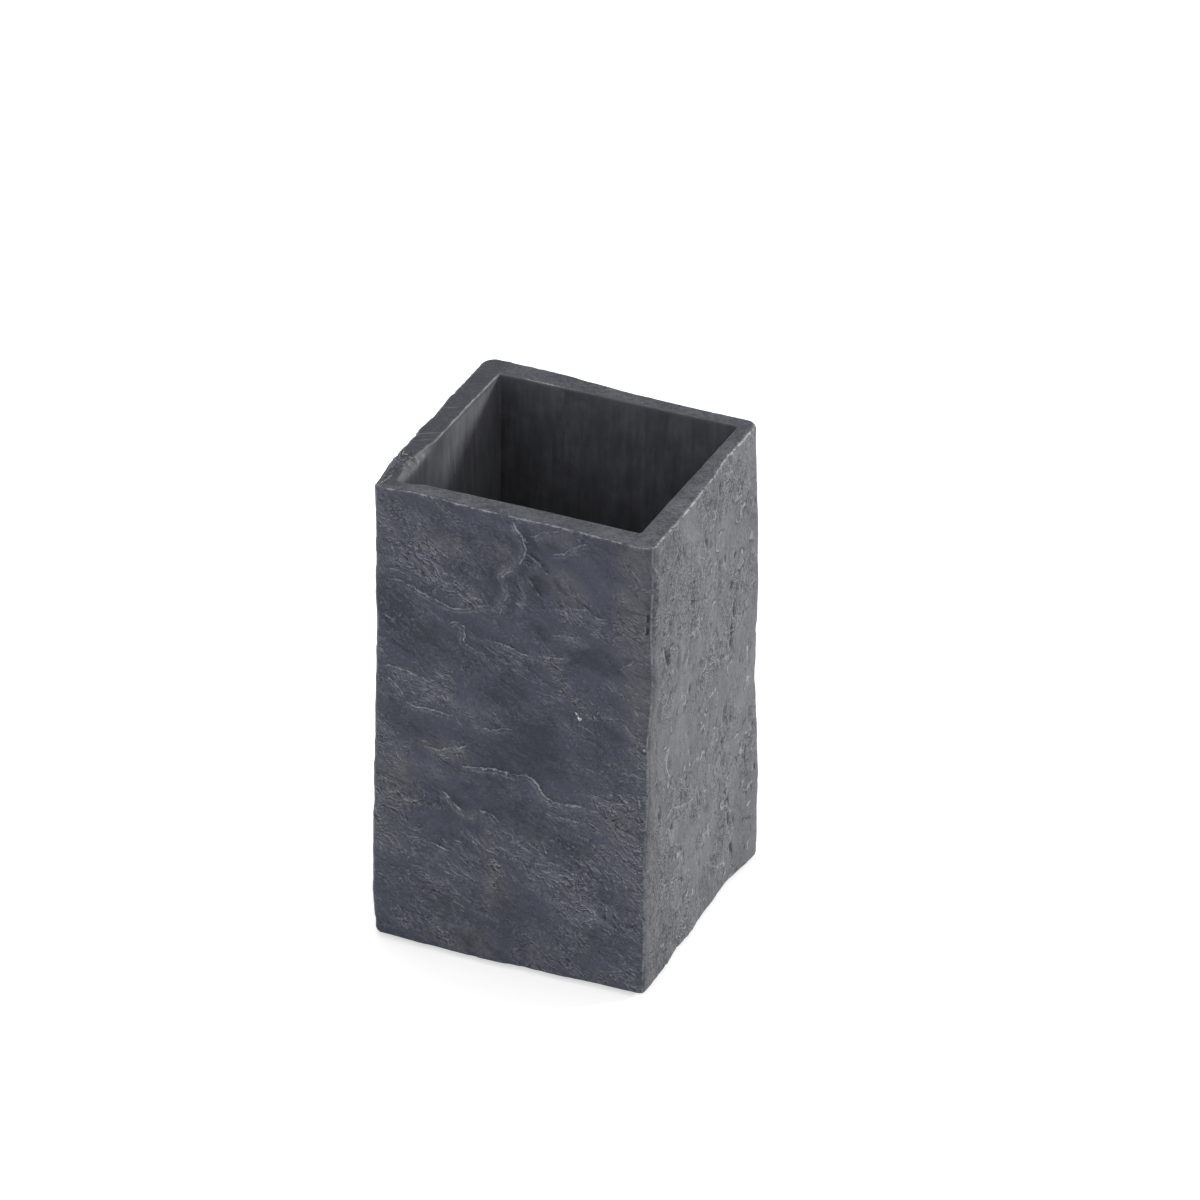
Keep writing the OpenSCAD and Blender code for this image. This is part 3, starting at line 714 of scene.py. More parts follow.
        # Outside, the walls are painted darker towards the front and the top. On the cavity's inner
        # left wall, painted shade lies over the near part, and a painted pool of light over the far
        # part.
        marks["darkening_and_painted_shade"] = 0.06 + 0.15 * ease((-14 - y) / 14) + 0.05 * ease((z - 20) / 60)
        marks["darkening_and_painted_shade"][inside] = 0.50 * weight[:, LEFT] * ease((3 - y[inside]) / 12)
        marks["painted_light"] = np.zeros(x.shape)
        marks["painted_light"][inside] = weight[:, LEFT] * ease((y[inside] + 16) / 18)
        # Filler shows at the rim's broken corner
        marks["light_amount"][rim] = ease((-26 - x[rim]) / 1.5) * ease((-10 - y[rim]) / 2)
        # A faint draw line runs down the back of the cavity
        on_back = weight[:, BACK] > 0.99
        gap = x[cavity] - np.interp(z[cavity], *DRAW_LINE)
        shown = 0.20 * ease((3 - np.abs(gap)) / 2) * ease((z[cavity] - 82) / 8)
        marks["light_line"][cavity] = np.where(on_back, gap, FAR)
        marks["light_amount"][cavity] = np.where(on_back, shown, 0)


def verts_in(geometry):
    return [v for v in geometry if isinstance(v, bmesh.types.BMVert)]


def build_casting(skin):
    """The closed shell of the casting: a rounded ring drawn up, folded in and closed."""
    bm = bmesh.new()
    station = bm.verts.layers.float.new("station")
    level = bm.verts.layers.float.new("level")
    # The first ring may have any size, because each point is moved to its place on the skin
    side, round_off = 10.0, 2.0
    bmesh.ops.create_grid(bm, x_segments=1, y_segments=1, size=side)
    bmesh.ops.bevel(bm, geom=bm.verts[:], offset=round_off, offset_type="OFFSET",
                    segments=CORNER_STEPS, profile=0.5, affect="VERTICES", material=-1)
    bmesh.ops.delete(bm, geom=bm.faces[:], context="FACES_ONLY")
    long_edges = [e for e in bm.edges if e.calc_length() > side]
    bmesh.ops.subdivide_edges(bm, edges=long_edges, cuts=skin.sizes.columns - 1)
    number_ring(bm, station, side)
    upper = verts_in(bmesh.ops.extrude_edge_only(bm, edges=bm.edges[:])["geom"])
    last = len(skin.rings) - 1
    for vert in upper:
        vert[level] = last
    bmesh.ops.translate(bm, verts=upper, vec=(0, 0, last))
    upright = [e for e in bm.edges if e.calc_length() > last - 1]
    bmesh.ops.subdivide_edges(bm, edges=upright, cuts=last - 1, use_grid_fill=True)
    for vert in bm.verts:
        vert.co = Vector(skin.points[round(vert[level]), round(vert[station])]) * MM
    for face in bm.faces:
        middle = sum(v[level] for v in face.verts) / len(face.verts)
        kind = skin.kind[math.ceil(middle)]
        face.material_index = {WALL: SPLIT, EDGE: SPLIT, RIM: CUT}.get(kind, MOULDED)
    rim_of = {edge: edge.verts[0][level] for edge in bm.edges if edge.is_boundary}
    bmesh.ops.edgeloop_fill(bm, edges=[e for e, at in rim_of.items() if at > 0.5],
                            mat_nr=MOULDED)
    close_underside(bm, [e for e, at in rim_of.items() if at < 0.5], skin)
    bmesh.ops.recalc_face_normals(bm, faces=bm.faces[:])
    for face in bm.faces:
        face.smooth = True
    return bm, station, level


def number_ring(bm, station, side):
    """Numbers the ring's points against the clock, from the left end of its front side."""
    front = [v for v in bm.verts if v.co.y < -side + 1e-4]
    vert = min(front, key=lambda v: v.co.x)
    before = min((e.other_vert(vert) for e in vert.link_edges), key=lambda v: v.co.x)
    for number in range(len(bm.verts)):
        vert[station] = number
        ahead = [e.other_vert(vert) for e in vert.link_edges if e.other_vert(vert) is not before]
        before, vert = vert, ahead[0]


def close_underside(bm, outline, skin):
    """Fills the underside round the four seats, and sinks the seats to the adhesive discs."""
    low = skin.low[2] * MM
    rings = []
    for foot, disc in zip(FEET, DISCS):
        near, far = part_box(foot)
        centre = (near + far) / 2
        made = bmesh.ops.create_circle(
            bm, cap_ends=False, radius=(far.x - near.x) / 2 + skin.sizes.seat_gap,
            segments=skin.sizes.seat_segments,
            matrix=Matrix.Translation((centre.x, centre.y, low)))
        edges = {e for v in made["verts"] for e in v.link_edges}
        rings.append((list(edges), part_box(disc)[1].z))
    every = outline + [e for edges, _ in rings for e in edges]
    filled = bmesh.ops.triangle_fill(bm, use_beauty=True, use_dissolve=False, edges=every,
                                     normal=(0, 0, -1))["geom"]
    added = [f for f in filled if isinstance(f, bmesh.types.BMFace)]
    for edges, roof in rings:
        sunk = bmesh.ops.extrude_edge_only(bm, edges=edges)["geom"]
        verts = verts_in(sunk)
        bmesh.ops.translate(bm, verts=verts, vec=(0, 0, roof - low))
        inner = [e for e in sunk if isinstance(e, bmesh.types.BMEdge)
                 and all(v in verts for v in e.verts)]
        bmesh.ops.edgeloop_fill(bm, edges=inner, mat_nr=MOULDED)
        added += [f for f in sunk if isinstance(f, bmesh.types.BMFace)]
    for face in added:
        face.material_index = MOULDED


def mesh_object(name, bm):
    mesh = bpy.data.meshes.new(name)
    bm.to_mesh(mesh)
    bm.free()
    obj = bpy.data.objects.new(name, mesh)
    bpy.context.collection.objects.link(obj)
    return obj


def body_name():
    """The one body that every piece rides on."""
    return list(frame["bodies"])[0]


# Finishes


class Value:
    """One output of a node. Sums and products of values become Math nodes."""

    def __init__(self, board, socket):
        self.board, self.socket = board, socket

    def __add__(self, other):
        return self.board.calc("ADD", self, other)

    def __radd__(self, other):
        return self.board.calc("ADD", other, self)

    def __sub__(self, other):
        return self.board.calc("SUBTRACT", self, other)

    def __rsub__(self, other):
        return self.board.calc("SUBTRACT", other, self)

    def __mul__(self, other):
        return self.board.calc("MULTIPLY", self, other)

    def __truediv__(self, other):
        return self.board.calc("DIVIDE", self, other)

    def __abs__(self):
        return self.board.calc("ABSOLUTE", self)

    def held(self):
        """The value kept between 0 and 1."""
        return self.board.calc("MULTIPLY", self, 1.0, clamp=True)

    def step(self, low, high, start=0.0, end=1.0):
        """A smooth step from start to end as the value goes from low to high."""
        return self.board.value("ShaderNodeMapRange", {0: self, 1: low, 2: high, 3: start, 4: end},
                                interpolation_type="SMOOTHSTEP")


class Board:
    """A node tree, laid out one step at a time."""

    def __init__(self, tree):
        self.tree = tree

    def add(self, kind, values=(), **settings):
        """A node with its settings, and a value or an output for each of its inputs."""
        node = self.tree.nodes.new(kind)
        for name, value in settings.items():
            setattr(node, name, value)
        for socket, value in dict(values).items():
            self.feed(node.inputs[socket], value)
        return node

    def feed(self, socket, value):
        if isinstance(value, Value):
            self.tree.links.new(value.socket, socket)
        else:
            socket.default_value = value

    def value(self, kind, values=(), output=0, **settings):
        """One output of a new node."""
        return Value(self, self.add(kind, values, **settings).outputs[output])

    def calc(self, operation, a, b=0.0, clamp=False):
        return self.value("ShaderNodeMath", {0: a, 1: b}, operation=operation, use_clamp=clamp)

    def blend(self, factor, a, b):
        return self.value("ShaderNodeMix", {0: factor, 6: a, 7: b}, 2, data_type="RGBA")

    def noise(self, vector, scale, detail=2.0, rough=0.5, bend=0.0, output=0):
        return self.value("ShaderNodeTexNoise", {
            "Vector": vector, "Scale": scale, "Detail": detail, "Roughness": rough,
            "Distortion": bend}, output)

    def cells(self, vector, scale):
        """Distance from the middle of the nearest of many cells."""
        return self.value("ShaderNodeTexVoronoi", {"Vector": vector, "Scale": scale}, "Distance",
                          feature="F1")

    def swirled(self, vector, scale, reach):
        """Coordinates pushed about by a broad noise, so that a grain along them bends."""
        cloud = self.noise(vector, scale, 1.0, output="Color")
        centred = self.value("ShaderNodeVectorMath", {0: cloud, 1: (0.5, 0.5, 0.5)},
                             operation="SUBTRACT")
        push = self.value("ShaderNodeVectorMath", {0: centred, "Scale": reach}, operation="SCALE")
        return self.value("ShaderNodeVectorMath", {0: vector, 1: push})

    def turned(self, vector, angles=(0, 0, 0), scale=(1, 1, 1), shift=(0, 0, 0)):
        """Coordinates along axes that are turned, with grains that long along each axis."""
        return self.value("ShaderNodeMapping", {"Vector": vector, "Location": shift,
                                                "Rotation": angles, "Scale": scale},
                          vector_type="TEXTURE")

    def mark(self, name):
        """A mark that the carving left on the mesh."""
        return self.value("ShaderNodeAttribute", output="Fac", attribute_name=name)

    def use(self, name, **given):
        """The outputs of one of the shared effects."""
        node = self.add("ShaderNodeGroup", given, node_tree=effect(name))
        return {socket.name: Value(self, socket) for socket in node.outputs}

    def to_eye(self):
        """1 for rays that show the background: straight, in a reflection or through glass."""
        rays = self.add("ShaderNodeLightPath").outputs
        seen = Value(self, rays["Is Camera Ray"])
        for name in ("Is Glossy Ray", "Is Transmission Ray"):
            seen = self.calc("MAXIMUM", seen, Value(self, rays[name]))
        return seen


def layer_edges(board, given):
    """Plates of thin layers: a stepped height, a pale line on each step and a painted shadow line
    below it.
    """
    height = board.value("ShaderNodeSeparateXYZ", {0: given["Vector"]}, "Z")
    stretched = board.turned(given["Vector"], scale=(2.6, 2.6, 1.0))
    bend = board.noise(stretched, given["Scale"], 5.0, 0.60, 0.5)
    bent = (bend - 0.5) * given["Steps"] + height * given["Scale"] * 0.9
    part = board.calc("FRACT", bent)
    show = board.noise(stretched, 0.11, 2.0, 0.5, 0.4).step(0.42, 0.60)
    crest = part.step(0.87, 0.93) * part.step(0.93, 0.985, 1.0, 0.0)
    # The dark line just after each drop is painted shadow under the step.
    foot = part.step(0.0, 0.02) * part.step(0.02, 0.12, 1.0, 0.0)
    return {"Height": part * part.step(0.93, 1.0, 1.0, 0.0) * show, "Edge": crest * show,
            "Foot": foot * show}


def hairlines(board, given):
    """Thin crinkled lines, where two sides of a cloud meet, and the shade under each."""
    lines = []
    for rise in (0.0, 0.30):
        place = board.value("ShaderNodeVectorMath", {0: given["Vector"], 1: (0, 0, rise)})
        cloud = board.noise(place, given["Scale"], 4.0, 0.60, 0.7)
        lines.append((abs(cloud - 0.5) / given["Width"]).step(1.0, 0.3))
    return {"Mask": lines[0], "Shade": lines[1]}


def mottle(board, given):
    """Uneven mineral colour: broad clouds, fine grains, light flecks and dark specks."""
    place = given["Vector"]
    return {"Clouds": board.noise(place, 0.16, 3.0, 0.6, 0.3),
            "Grains": board.noise(place, 1.6, 3.0, 0.7),
            "Flecks": board.noise(place, 2.1, 2.0, 0.6).step(0.64, 0.74),
            "Specks": board.noise(place, 1.5, 2.0, 0.6, 0.2).step(0.36, 0.28)}


def worn_line(board, given):
    """A thin uneven line along an edge, from the signed distance to it in mm."""
    place = given["Vector"]
    width = given["Width"] * board.noise(place, 0.55, 3.0, 0.65).step(0.30, 0.70, 0.45, 1.5)
    crinkle = (board.noise(place, 1.1, 4.0, 0.74) - 0.5) * given["Stray"]
    shown = (abs(given["Line"] + crinkle) / width).step(1.0, 0.35)
    broken = board.noise(place, 0.45, 3.0, 0.65).step(0.39, 0.58, 0.06, 1.0)
    return {"Mask": (shown * broken * given["Amount"]).held()}


def chip_arcs(board, given):
    """Small curved chips: part of a ring in each cell, with a painted lit side and a painted shaded
    side.
    """
    away = board.cells(board.swirled(given["Vector"], 0.4, 4.0), given["Scale"])
    shown = board.noise(given["Vector"], 0.42, 2.0, 0.6).step(0.51, 0.57)
    pale, dark = (abs(away - radius).step(0.055, 0.025) * shown for radius in (0.30, 0.41))
    return {"Pale": pale, "Dark": dark}


EFFECTS = {
    "Chip Arcs": (("Vector", "Scale"), ("Pale", "Dark"), chip_arcs),
    "Layer Edges": (("Vector", "Scale", "Steps"), ("Height", "Edge", "Foot"), layer_edges),
    "Hairlines": (("Vector", "Scale", "Width"), ("Mask", "Shade"), hairlines),
    "Mineral Mottle": (("Vector",), ("Clouds", "Grains", "Flecks", "Specks"), mottle),
    "Worn Line": (("Vector", "Line", "Width", "Amount", "Stray"), ("Mask",), worn_line),
}


def effect(name):
    """A shared effect as a node group, made once."""
    tree = bpy.data.node_groups.get(name)
    if tree:
        return tree
    inputs, outputs, build = EFFECTS[name]
    tree = bpy.data.node_groups.new(name, "ShaderNodeTree")
    for label in inputs:
        kind = "NodeSocketVector" if label == "Vector" else "NodeSocketFloat"
        tree.interface.new_socket(label, in_out="INPUT", socket_type=kind)
    for label in outputs:
        tree.interface.new_socket(label, in_out="OUTPUT", socket_type="NodeSocketFloat")
    board = Board(tree)
    entry = board.add("NodeGroupInput").outputs
    leave = board.add("NodeGroupOutput").inputs
    given = {label: Value(board, entry[label]) for label in inputs}
    for label, value in build(board, given).items():
        board.feed(leave[label], value)
    return tree


class Finish(Board):
    """A material for the piece's place in mm, whose plain values stand on its shader."""

    def __init__(self, name, look, roughness, specular):
        self.material = bpy.data.materials.new(name)
        self.material.use_nodes = True
        super().__init__(self.material.node_tree)
        self.look = look
        self.inputs = self.tree.nodes["Principled BSDF"].inputs
        self.inputs["Roughness"].default_value = roughness
        self.inputs["Specular IOR Level"].default_value = specular
        place = self.value("ShaderNodeTexCoord", output="Object")
        self.place = self.value("ShaderNodeVectorMath", {0: place, "Scale": 1 / MM},
                                operation="SCALE")

    def blend(self, factor, *colours):
        """A mix of two colours, each a colour of the look by name or a value."""
        return super().blend(factor, *((*getattr(self.look, c), 1.0) if isinstance(c, str) else c
                                       for c in colours))

    def layers(self, ground, *coats):
        """Colours laid over a ground in turn, each as (name, mask)."""
        for name, mask in coats:
            ground = self.blend(mask, ground, name)
        return ground

    def line(self, mark, width, amount, stray=0.5):
        """A worn line where a mark is nought."""
        return self.use("Worn Line", Vector=self.place, Line=mark, Width=width, Amount=amount,
                        Stray=stray)["Mask"]

    def made(self, colour, height, roughness=None):
        """The material, with its colour, fine relief from a height in mm, and roughness."""
        self.feed(self.inputs["Base Color"], colour)
        self.feed(self.inputs["Normal"], self.value(
            "ShaderNodeBump", {"Strength": 1.0, "Distance": MM, "Height": height}, "Normal"))
        if roughness:
            self.feed(self.inputs["Roughness"], roughness)
        return self.material


def slate_finish(look):
    """Split and broken slate: one material, so that the two patterns meet in the corners."""
    f = Finish("slate_walls", look, 0.82, 0.28)
    place = f.place
    stone = f.use("Mineral Mottle", Vector=place)
    grains, flecks, specks = stone["Grains"], stone["Flecks"], stone["Specks"]
    scuff, flat, rust, turn, crest = map(f.mark, ("scuff", "calm", "rust", "split", "crest"))
    calm = flat.step(0.0, 1.0, 1.0, 0.25)

    # The split pattern: thin plates, hairlines in swarms, brown and pale patches
    dip = (0, math.radians(GRAIN_DIP), 0)
    along = f.turned(place, dip)
    wild = f.swirled(place, 0.055, 9.0)
    coarse = f.use("Layer Edges", Vector=along, Scale=0.11, Steps=6.5)
    fine = f.use("Layer Edges", Vector=f.turned(along, shift=(40, 9, 5)), Scale=0.27, Steps=4.5)
    drawn = f.turned(place, dip, (1.9, 1.9, 1))
    patchy = f.noise(drawn, 0.080, 3.0, 0.52, 0.4)
    blotches = f.noise(drawn, 0.32, 4.0, 0.60, 0.5)
    grain = f.noise(f.turned(wild, dip, (1.7, 1.7, 1)), 2.1, 3.0, 0.72)
    activity = patchy * 0.50 + blotches * 0.50 + scuff * 0.08 - flat * 0.12
    swarm = activity.step(0.48, 0.60)
    busy = activity.step(0.42, 0.63, 0.55, 2.05)
    hairs = f.use("Hairlines", Vector=f.turned(wild, dip, (1.9, 1.9, 1)), Scale=0.42, Width=0.038)
    cracks = f.use("Hairlines", Vector=f.turned(place, dip, (2.6, 2.6, 1), (13, 5, 8)),
                   Scale=0.36, Width=0.020)
    tone = (0.5 + (grain * 0.78 + blotches * 0.42 - 0.60) * busy
            + (patchy * 1.30 + blotches * 0.42 - 0.86) + scuff * 0.11 - flat * 0.11)
    rusty = rust * blotches.step(0.34, 0.56, 0.35, 1.0) * grain.step(0.38, 0.60, 0.65, 1.0)
    scuffed = (scuff + 0.10) * (grain * 0.7 + blotches * 0.3).step(0.47, 0.60)
    edges = fine["Edge"] * 0.40 + coarse["Edge"] * 0.55 + hairs["Mask"] * swarm * 0.95
    edges = edges * calm * grain.step(0.36, 0.56, 0.30, 1.0) * (0.85 + scuff * 0.9)
    # Painted shadows under the plate steps and under the hairlines, with dark cracks
    feet = (coarse["Foot"] * 0.55 + fine["Foot"] * 0.25 + cracks["Mask"] * swarm * 0.40
            + hairs["Shade"] * swarm * 0.55)
    split = f.layers(f.blend(tone.step(0.22, 0.52), "split_dark", "split_mid"),
                     ("split_light", tone.step(0.50, 0.84)), ("rust", rusty * 0.62),
                     ("scuff", scuffed * 0.50), ("scuff_line", edges.held()),
                     ("crevice_and_shade", feet * calm))

    # The broken pattern: grit in rough zones and calm ones, pale scars and a few dark dashes
    grit = f.noise(f.turned(place, scale=(1, 1, 1.1)), 1.9, 3.0, 0.75)
    threads = f.noise(f.turned(place, scale=(0.7, 0.5, 4.5)), 0.9, 2.0, 0.6)
    lumps = f.noise(f.turned(place, scale=(1.1, 1, 1.3)), 0.24, 4.0, 0.60, 0.6)
    dashes = f.noise(f.turned(place, scale=(2, 0.75, 2.6), shift=(7, 3, 11)), 0.42, 3.0,
                     0.55).step(0.33, 0.28)
    scars = f.use("Hairlines", Vector=f.turned(place, (math.radians(30), 0, 0), (1, 1, 1.5),
                                               (5, 19, 2)), Scale=0.24, Width=0.034)
    zones = scuff * 0.28 - flat * 0.22 + f.noise(place, 0.085, 3.0, 0.5)
    rough = zones.step(0.42, 0.66, 0.70, 2.30)
    torn = zones.step(0.40, 0.60, 0.15, 1.0)
    open_stone = zones.step(0.44, 0.62)
    crumb = f.noise(f.turned(place, (0.3, 0, 0), (1, 1, 1.3), (3, 8, 1)), 1.15, 4.0, 0.66, 0.6)
    crumbs = crumb.step(0.57, 0.62) * crumb.step(0.66, 0.61) * torn
    pits = crumb.step(0.41, 0.36) * torn
    # Chip arcs: painted light on one side of each small chip, painted shade on the other
    arcs = f.use("Chip Arcs", Vector=place, Scale=0.15)
    corner = f.mark("corner_line")
    inland = corner.step(2.5, 5.0) * f.mark("rim_line").step(-3.0, -6.0)
    lit_arcs, shaded_arcs = arcs["Pale"] * inland * 0.70, arcs["Dark"] * inland * 0.66
    ragged = lumps.step(0.45, 0.56) * open_stone
    scarred = scars["Mask"] * ragged * grit.step(0.26, 0.46)
    tone = (0.5 + rough * (grit * 0.90 + threads * 0.22 + lumps * 0.26 - 0.69)
            + patchy * 0.42 - 0.21)
    broken = f.layers(f.blend(tone.step(0.15, 0.85), "broken_dark", "broken_light"),
                      ("broken_scar_and_lit_side", flecks * open_stone * 0.75), ("broken_scar_and_lit_side", scarred * 0.85),
                      ("broken_dash_and_shade", scars["Shade"] * ragged * 0.55),
                      ("broken_dash_and_shade", dashes * 0.32), ("broken_scar_and_lit_side", crumbs * 0.62),
                      ("broken_dash_and_shade", pits * 0.30), ("broken_scar_and_lit_side", lit_arcs),
                      # the last layer: darker towards the front and the top
                      ("broken_dash_and_shade", shaded_arcs), ("crevice_and_shade", f.mark("darkening_and_painted_shade")))

    # Where the two meet, and what the carving left
    high = crest.step(0.35, 1.0) * grains.step(0.40, 0.62)
    pale_line, shown, dark_line = map(f.mark, ("light_line", "light_amount", "dark_line"))
    fresh = shown.step(1.2, 1.8)
    light = f.line(pale_line, turn.step(0.15, 0.85, 0.36, 0.18) + fresh * 0.14, shown * 1.3, 1.3)
    flake = f.line(pale_line + 0.80, 0.22, shown, 2.0) * fresh.step(0.0, 1.0, 0.45, 0.0)
    deep = f.mark("dark_amount") * 1.6
    wide = turn.step(0.15, 0.85, 0.85, 0.36)
    lip = f.line(dark_line + wide * 1.2 + 0.06, wide * 0.66, deep, 1.1)
    dark = f.line(dark_line, wide, deep, 1.1) * turn.step(0.15, 0.85, 0.72, 0.92)
    # The dark line just off each pale ledge line is painted shade.
    colour = f.layers(
        f.blend(turn.step(0.15, 0.85), broken, split),
        ("worn", high * 0.16 * calm), ("crevice_and_shade", crest.step(-0.35, -1.0) * 0.30),
        ("crevice_and_shade", f.line(pale_line - 0.34, 0.24, shown, 1.3) * 0.45), ("worn", light),
        ("worn", flake), ("filler", light * fresh), ("worn", lip * 0.40), ("crevice_and_shade", dark),
        ("scuff_line", f.line(corner, 0.34, 0.75, 0.9)), *rim_edge(f, grains),
        ("crevice_and_shade", specks * 0.30), ("worn", flecks * 0.16))

    split_height = (busy * (blotches * 0.30 + grain * 0.11 + hairs["Mask"] * 0.05)
                    + calm * (coarse["Height"] * 0.36 + fine["Height"] * 0.20))
    broken_height = rough * (
        grit * 0.10 + threads * 0.03 + lumps * 0.36 - dashes * 0.12 + scarred * 0.05
        + crumbs * 0.05 - pits * 0.08 + lit_arcs * 0.09 - shaded_arcs * 0.15)
    ledge = pale_line.step(0.16, -0.10) * shown
    return f.made(colour, split_height * turn + broken_height * (1.0 - turn) + grains * 0.04
                  - specks * 0.03 + ledge * 0.22,
                  (blotches * 0.6 + grains * 0.4).step(0.35, 0.65, 0.74, 0.92))


def rim_edge(f, grains):
    """The worn outer edge of the rim: a thin line, partly wear and partly painted highlight, among
    loose pale flecks.
    """
    edge, shine = f.mark("rim_line"), f.mark("rim_shine")
    loose = f.line(edge, 0.95, shine, 1.2) * grains.step(0.42, 0.62)
    return ("scuff_line", loose * 0.40), ("edge_wear_and_highlight", f.line(edge, 0.24, shine, 0.7))


def mouth_edge(f):
    """The thin worn edge of the mouth, partly wear and partly painted highlight."""
    return "edge_wear_and_highlight", f.line(f.mark("mouth_line"), 0.17, f.mark("mouth_shine"))


def rim_finish(look):
    """The cut top of the rim: flat ground stone, mottled, with scratches and chipped edges."""
    f = Finish("cut_rim", look, 0.7, 0.35)
    stone = f.use("Mineral Mottle", Vector=f.place)
    grains, specks = stone["Grains"], stone["Specks"]
    ground = f.noise(f.place, 0.75, 4.0, 0.65, 0.4)
    tone = stone["Clouds"] * 0.6 + grains * 0.8 + ground * 0.7 - 0.55
    scratches = f.noise(f.turned(f.place, (0, 0, math.radians(34)), (9, 0.5, 1)), 0.8, 2.0)
    sparks = (f.line(f.mark("light_line"), 0.42, f.mark("light_amount"), 1.6)
              * f.noise(f.place, 1.3, 2.0, 0.6).step(0.50, 0.62))
    colour = f.layers(
        f.blend(tone.step(0.31, 0.71), "rim_dark", "rim_light"),
        ("scuff", stone["Flecks"] * 0.40), ("crevice_and_shade", specks * 0.40),
        ("crevice_and_shade", f.mark("rim_shade")), ("worn", scratches.step(0.63, 0.72) * 0.25),
        ("scuff_line", f.mark("chipped") * grains.step(0.48, 0.66) * 0.48),
        ("crevice_and_shade", f.mark("mouth_line").step(-2.6, -0.6) * 0.16), ("filler", sparks),
        *rim_edge(f, grains), mouth_edge(f))
    return f.made(colour, grains * 0.07 + ground * 0.16 - specks * 0.06 - scratches * 0.02)


def moulded_finish(look):
    """The smooth dark skin that the mould left in the cavity and on the underside."""
    f = Finish("moulded_skin", look, 0.55, 0.4)
    stone = f.use("Mineral Mottle", Vector=f.place)
    drag = f.noise(f.turned(f.place, scale=(1, 1, 7)), 0.7, 3.0, 0.6)
    tone = stone["Clouds"] * 0.7 + drag * 0.5 - 0.10
    colour = f.layers(
        f.blend(tone.step(0.35, 0.75), "skin_dark", "skin_light"),
        ("scuff", stone["Flecks"] * 0.12),
        # painted light on the far part of the inner left wall, and painted shade over its near part
        ("skin_painted_light", f.mark("painted_light") * drag.step(0.35, 0.65, 0.38, 0.66)),
        ("crevice_and_shade", f.mark("darkening_and_painted_shade")), mouth_edge(f),
        ("scuff", f.line(f.mark("light_line"), 0.5, f.mark("light_amount"))))
    return f.made(colour, drag * 0.04 + stone["Grains"] * 0.012, drag.step(0.3, 0.7, 0.48, 0.66))


def foam_finish(look):
    """Closed-cell foam: fine cells, darker where the skin has opened."""
    f = Finish("foot_foam_cells", look, 0.9, 0.25)
    cells = f.cells(f.place, 3.2)
    colour = f.layers(f.blend(cells.step(0.1, 0.6), "foam_dark", "foam_light"),
                      ("foam_dark", f.noise(f.place, 0.9).step(0.45, 0.62) * 0.25))
    return f.made(colour, cells * 0.10)


def film_finish(look):
    """The adhesive film, a little clouded by trapped air."""
    f = Finish("adhesive_clouded", look, 0.35, 0.5)
    clouds = f.noise(f.place, 0.5, 3.0, 0.6)
    return f.made(f.blend(clouds.step(0.35, 0.65), "film_dark", "film_light"), clouds * 0.02,
                  clouds.step(0.3, 0.7, 0.28, 0.5))


# Settings


def length(name, description, default):
    """A length setting, given in mm."""
    return bpy.props.FloatProperty(name=name, description=description, default=default * MM,
                                   min=0.0, subtype="DISTANCE", unit="LENGTH", precision=5)


def angle(name, description, default):
    """An angle setting, given in degrees."""
    return bpy.props.FloatProperty(name=name, description=description,
                                   default=math.radians(default), subtype="ANGLE",
                                   unit="ROTATION")


def number(name, description, default):
    return bpy.props.FloatProperty(name=name, description=description, default=default, min=0.0)


def count(name, description, default, least):
    return bpy.props.IntProperty(name=name, description=description, default=default, min=least)


def colour(name, description, *default):
    return bpy.props.FloatVectorProperty(name=name, description=description, default=default,
                                         size=3, min=0.0, max=1.0, subtype="COLOR")


class TumblerShape(bpy.types.PropertyGroup):
    """Sizes of the casting's skin."""

    columns: count("Columns", "Steps along each wall", 96, 8)
    rows: count("Rows", "Steps up the walls", 156, 8)
    rim_rows: count("Rim Rows", "Steps across the rim", 10, 2)
    cavity_rows: count("Cavity Rows", "Steps down the cavity", 34, 4)
    corner_radius: length("Corner Radius", "Rounding of the upright corners", 1.5)
    rim_wear: length("Rim Wear", "Rounding of the rim's outer edge", 0.7)
    base_wear: length("Base Wear", "Rounding of the lower edge", 0.9)
    mouth_wear: length("Mouth Wear", "Rounding of the mouth's edge", 0.4)
    side_wall: length("Side Wall", "Left and right walls at the rim", 5.4)
    front_wall: length("Front Wall", "Front and back walls at the rim", 7.0)
    bottom: length("Bottom", "Thickness of the bottom", 7.0)
    cavity_radius: length("Cavity Radius", "Rounding of the cavity's upright corners", 0.8)
    floor_radius: length("Floor Radius", "Rounding between the cavity's walls and its floor", 3.0)
    draft: angle("Draft", "Lean of the cavity's walls", 2.0)
    core_turn: angle("Core Turn", "Turn of the cavity against the block, clockwise", 1.0)
    seat_gap: length("Seat Gap", "Room round each foot in its seat", 0.3)
    seat_segments: count("Seat Segments", "Steps round each seat", 64, 12)
    layer_rise: length("Layer Rise", "Relief of the split layers", 0.20)
    grain_dip: angle("Grain Dip", "Fall of the layers towards the right", GRAIN_DIP)
    rib_rise: length("Rib Rise", "Relief of the broken walls", 0.16)
    feature_rise: number("Feature Rise", "Share of the ledges' and breaks' relief", 0.6)
    corner_chips: length("Corner Chips", "Depth of the chips along the upright corners", 0.20)
    chip_drop: length("Chip Drop", "Depth of the broken corner of the rim", 0.6)


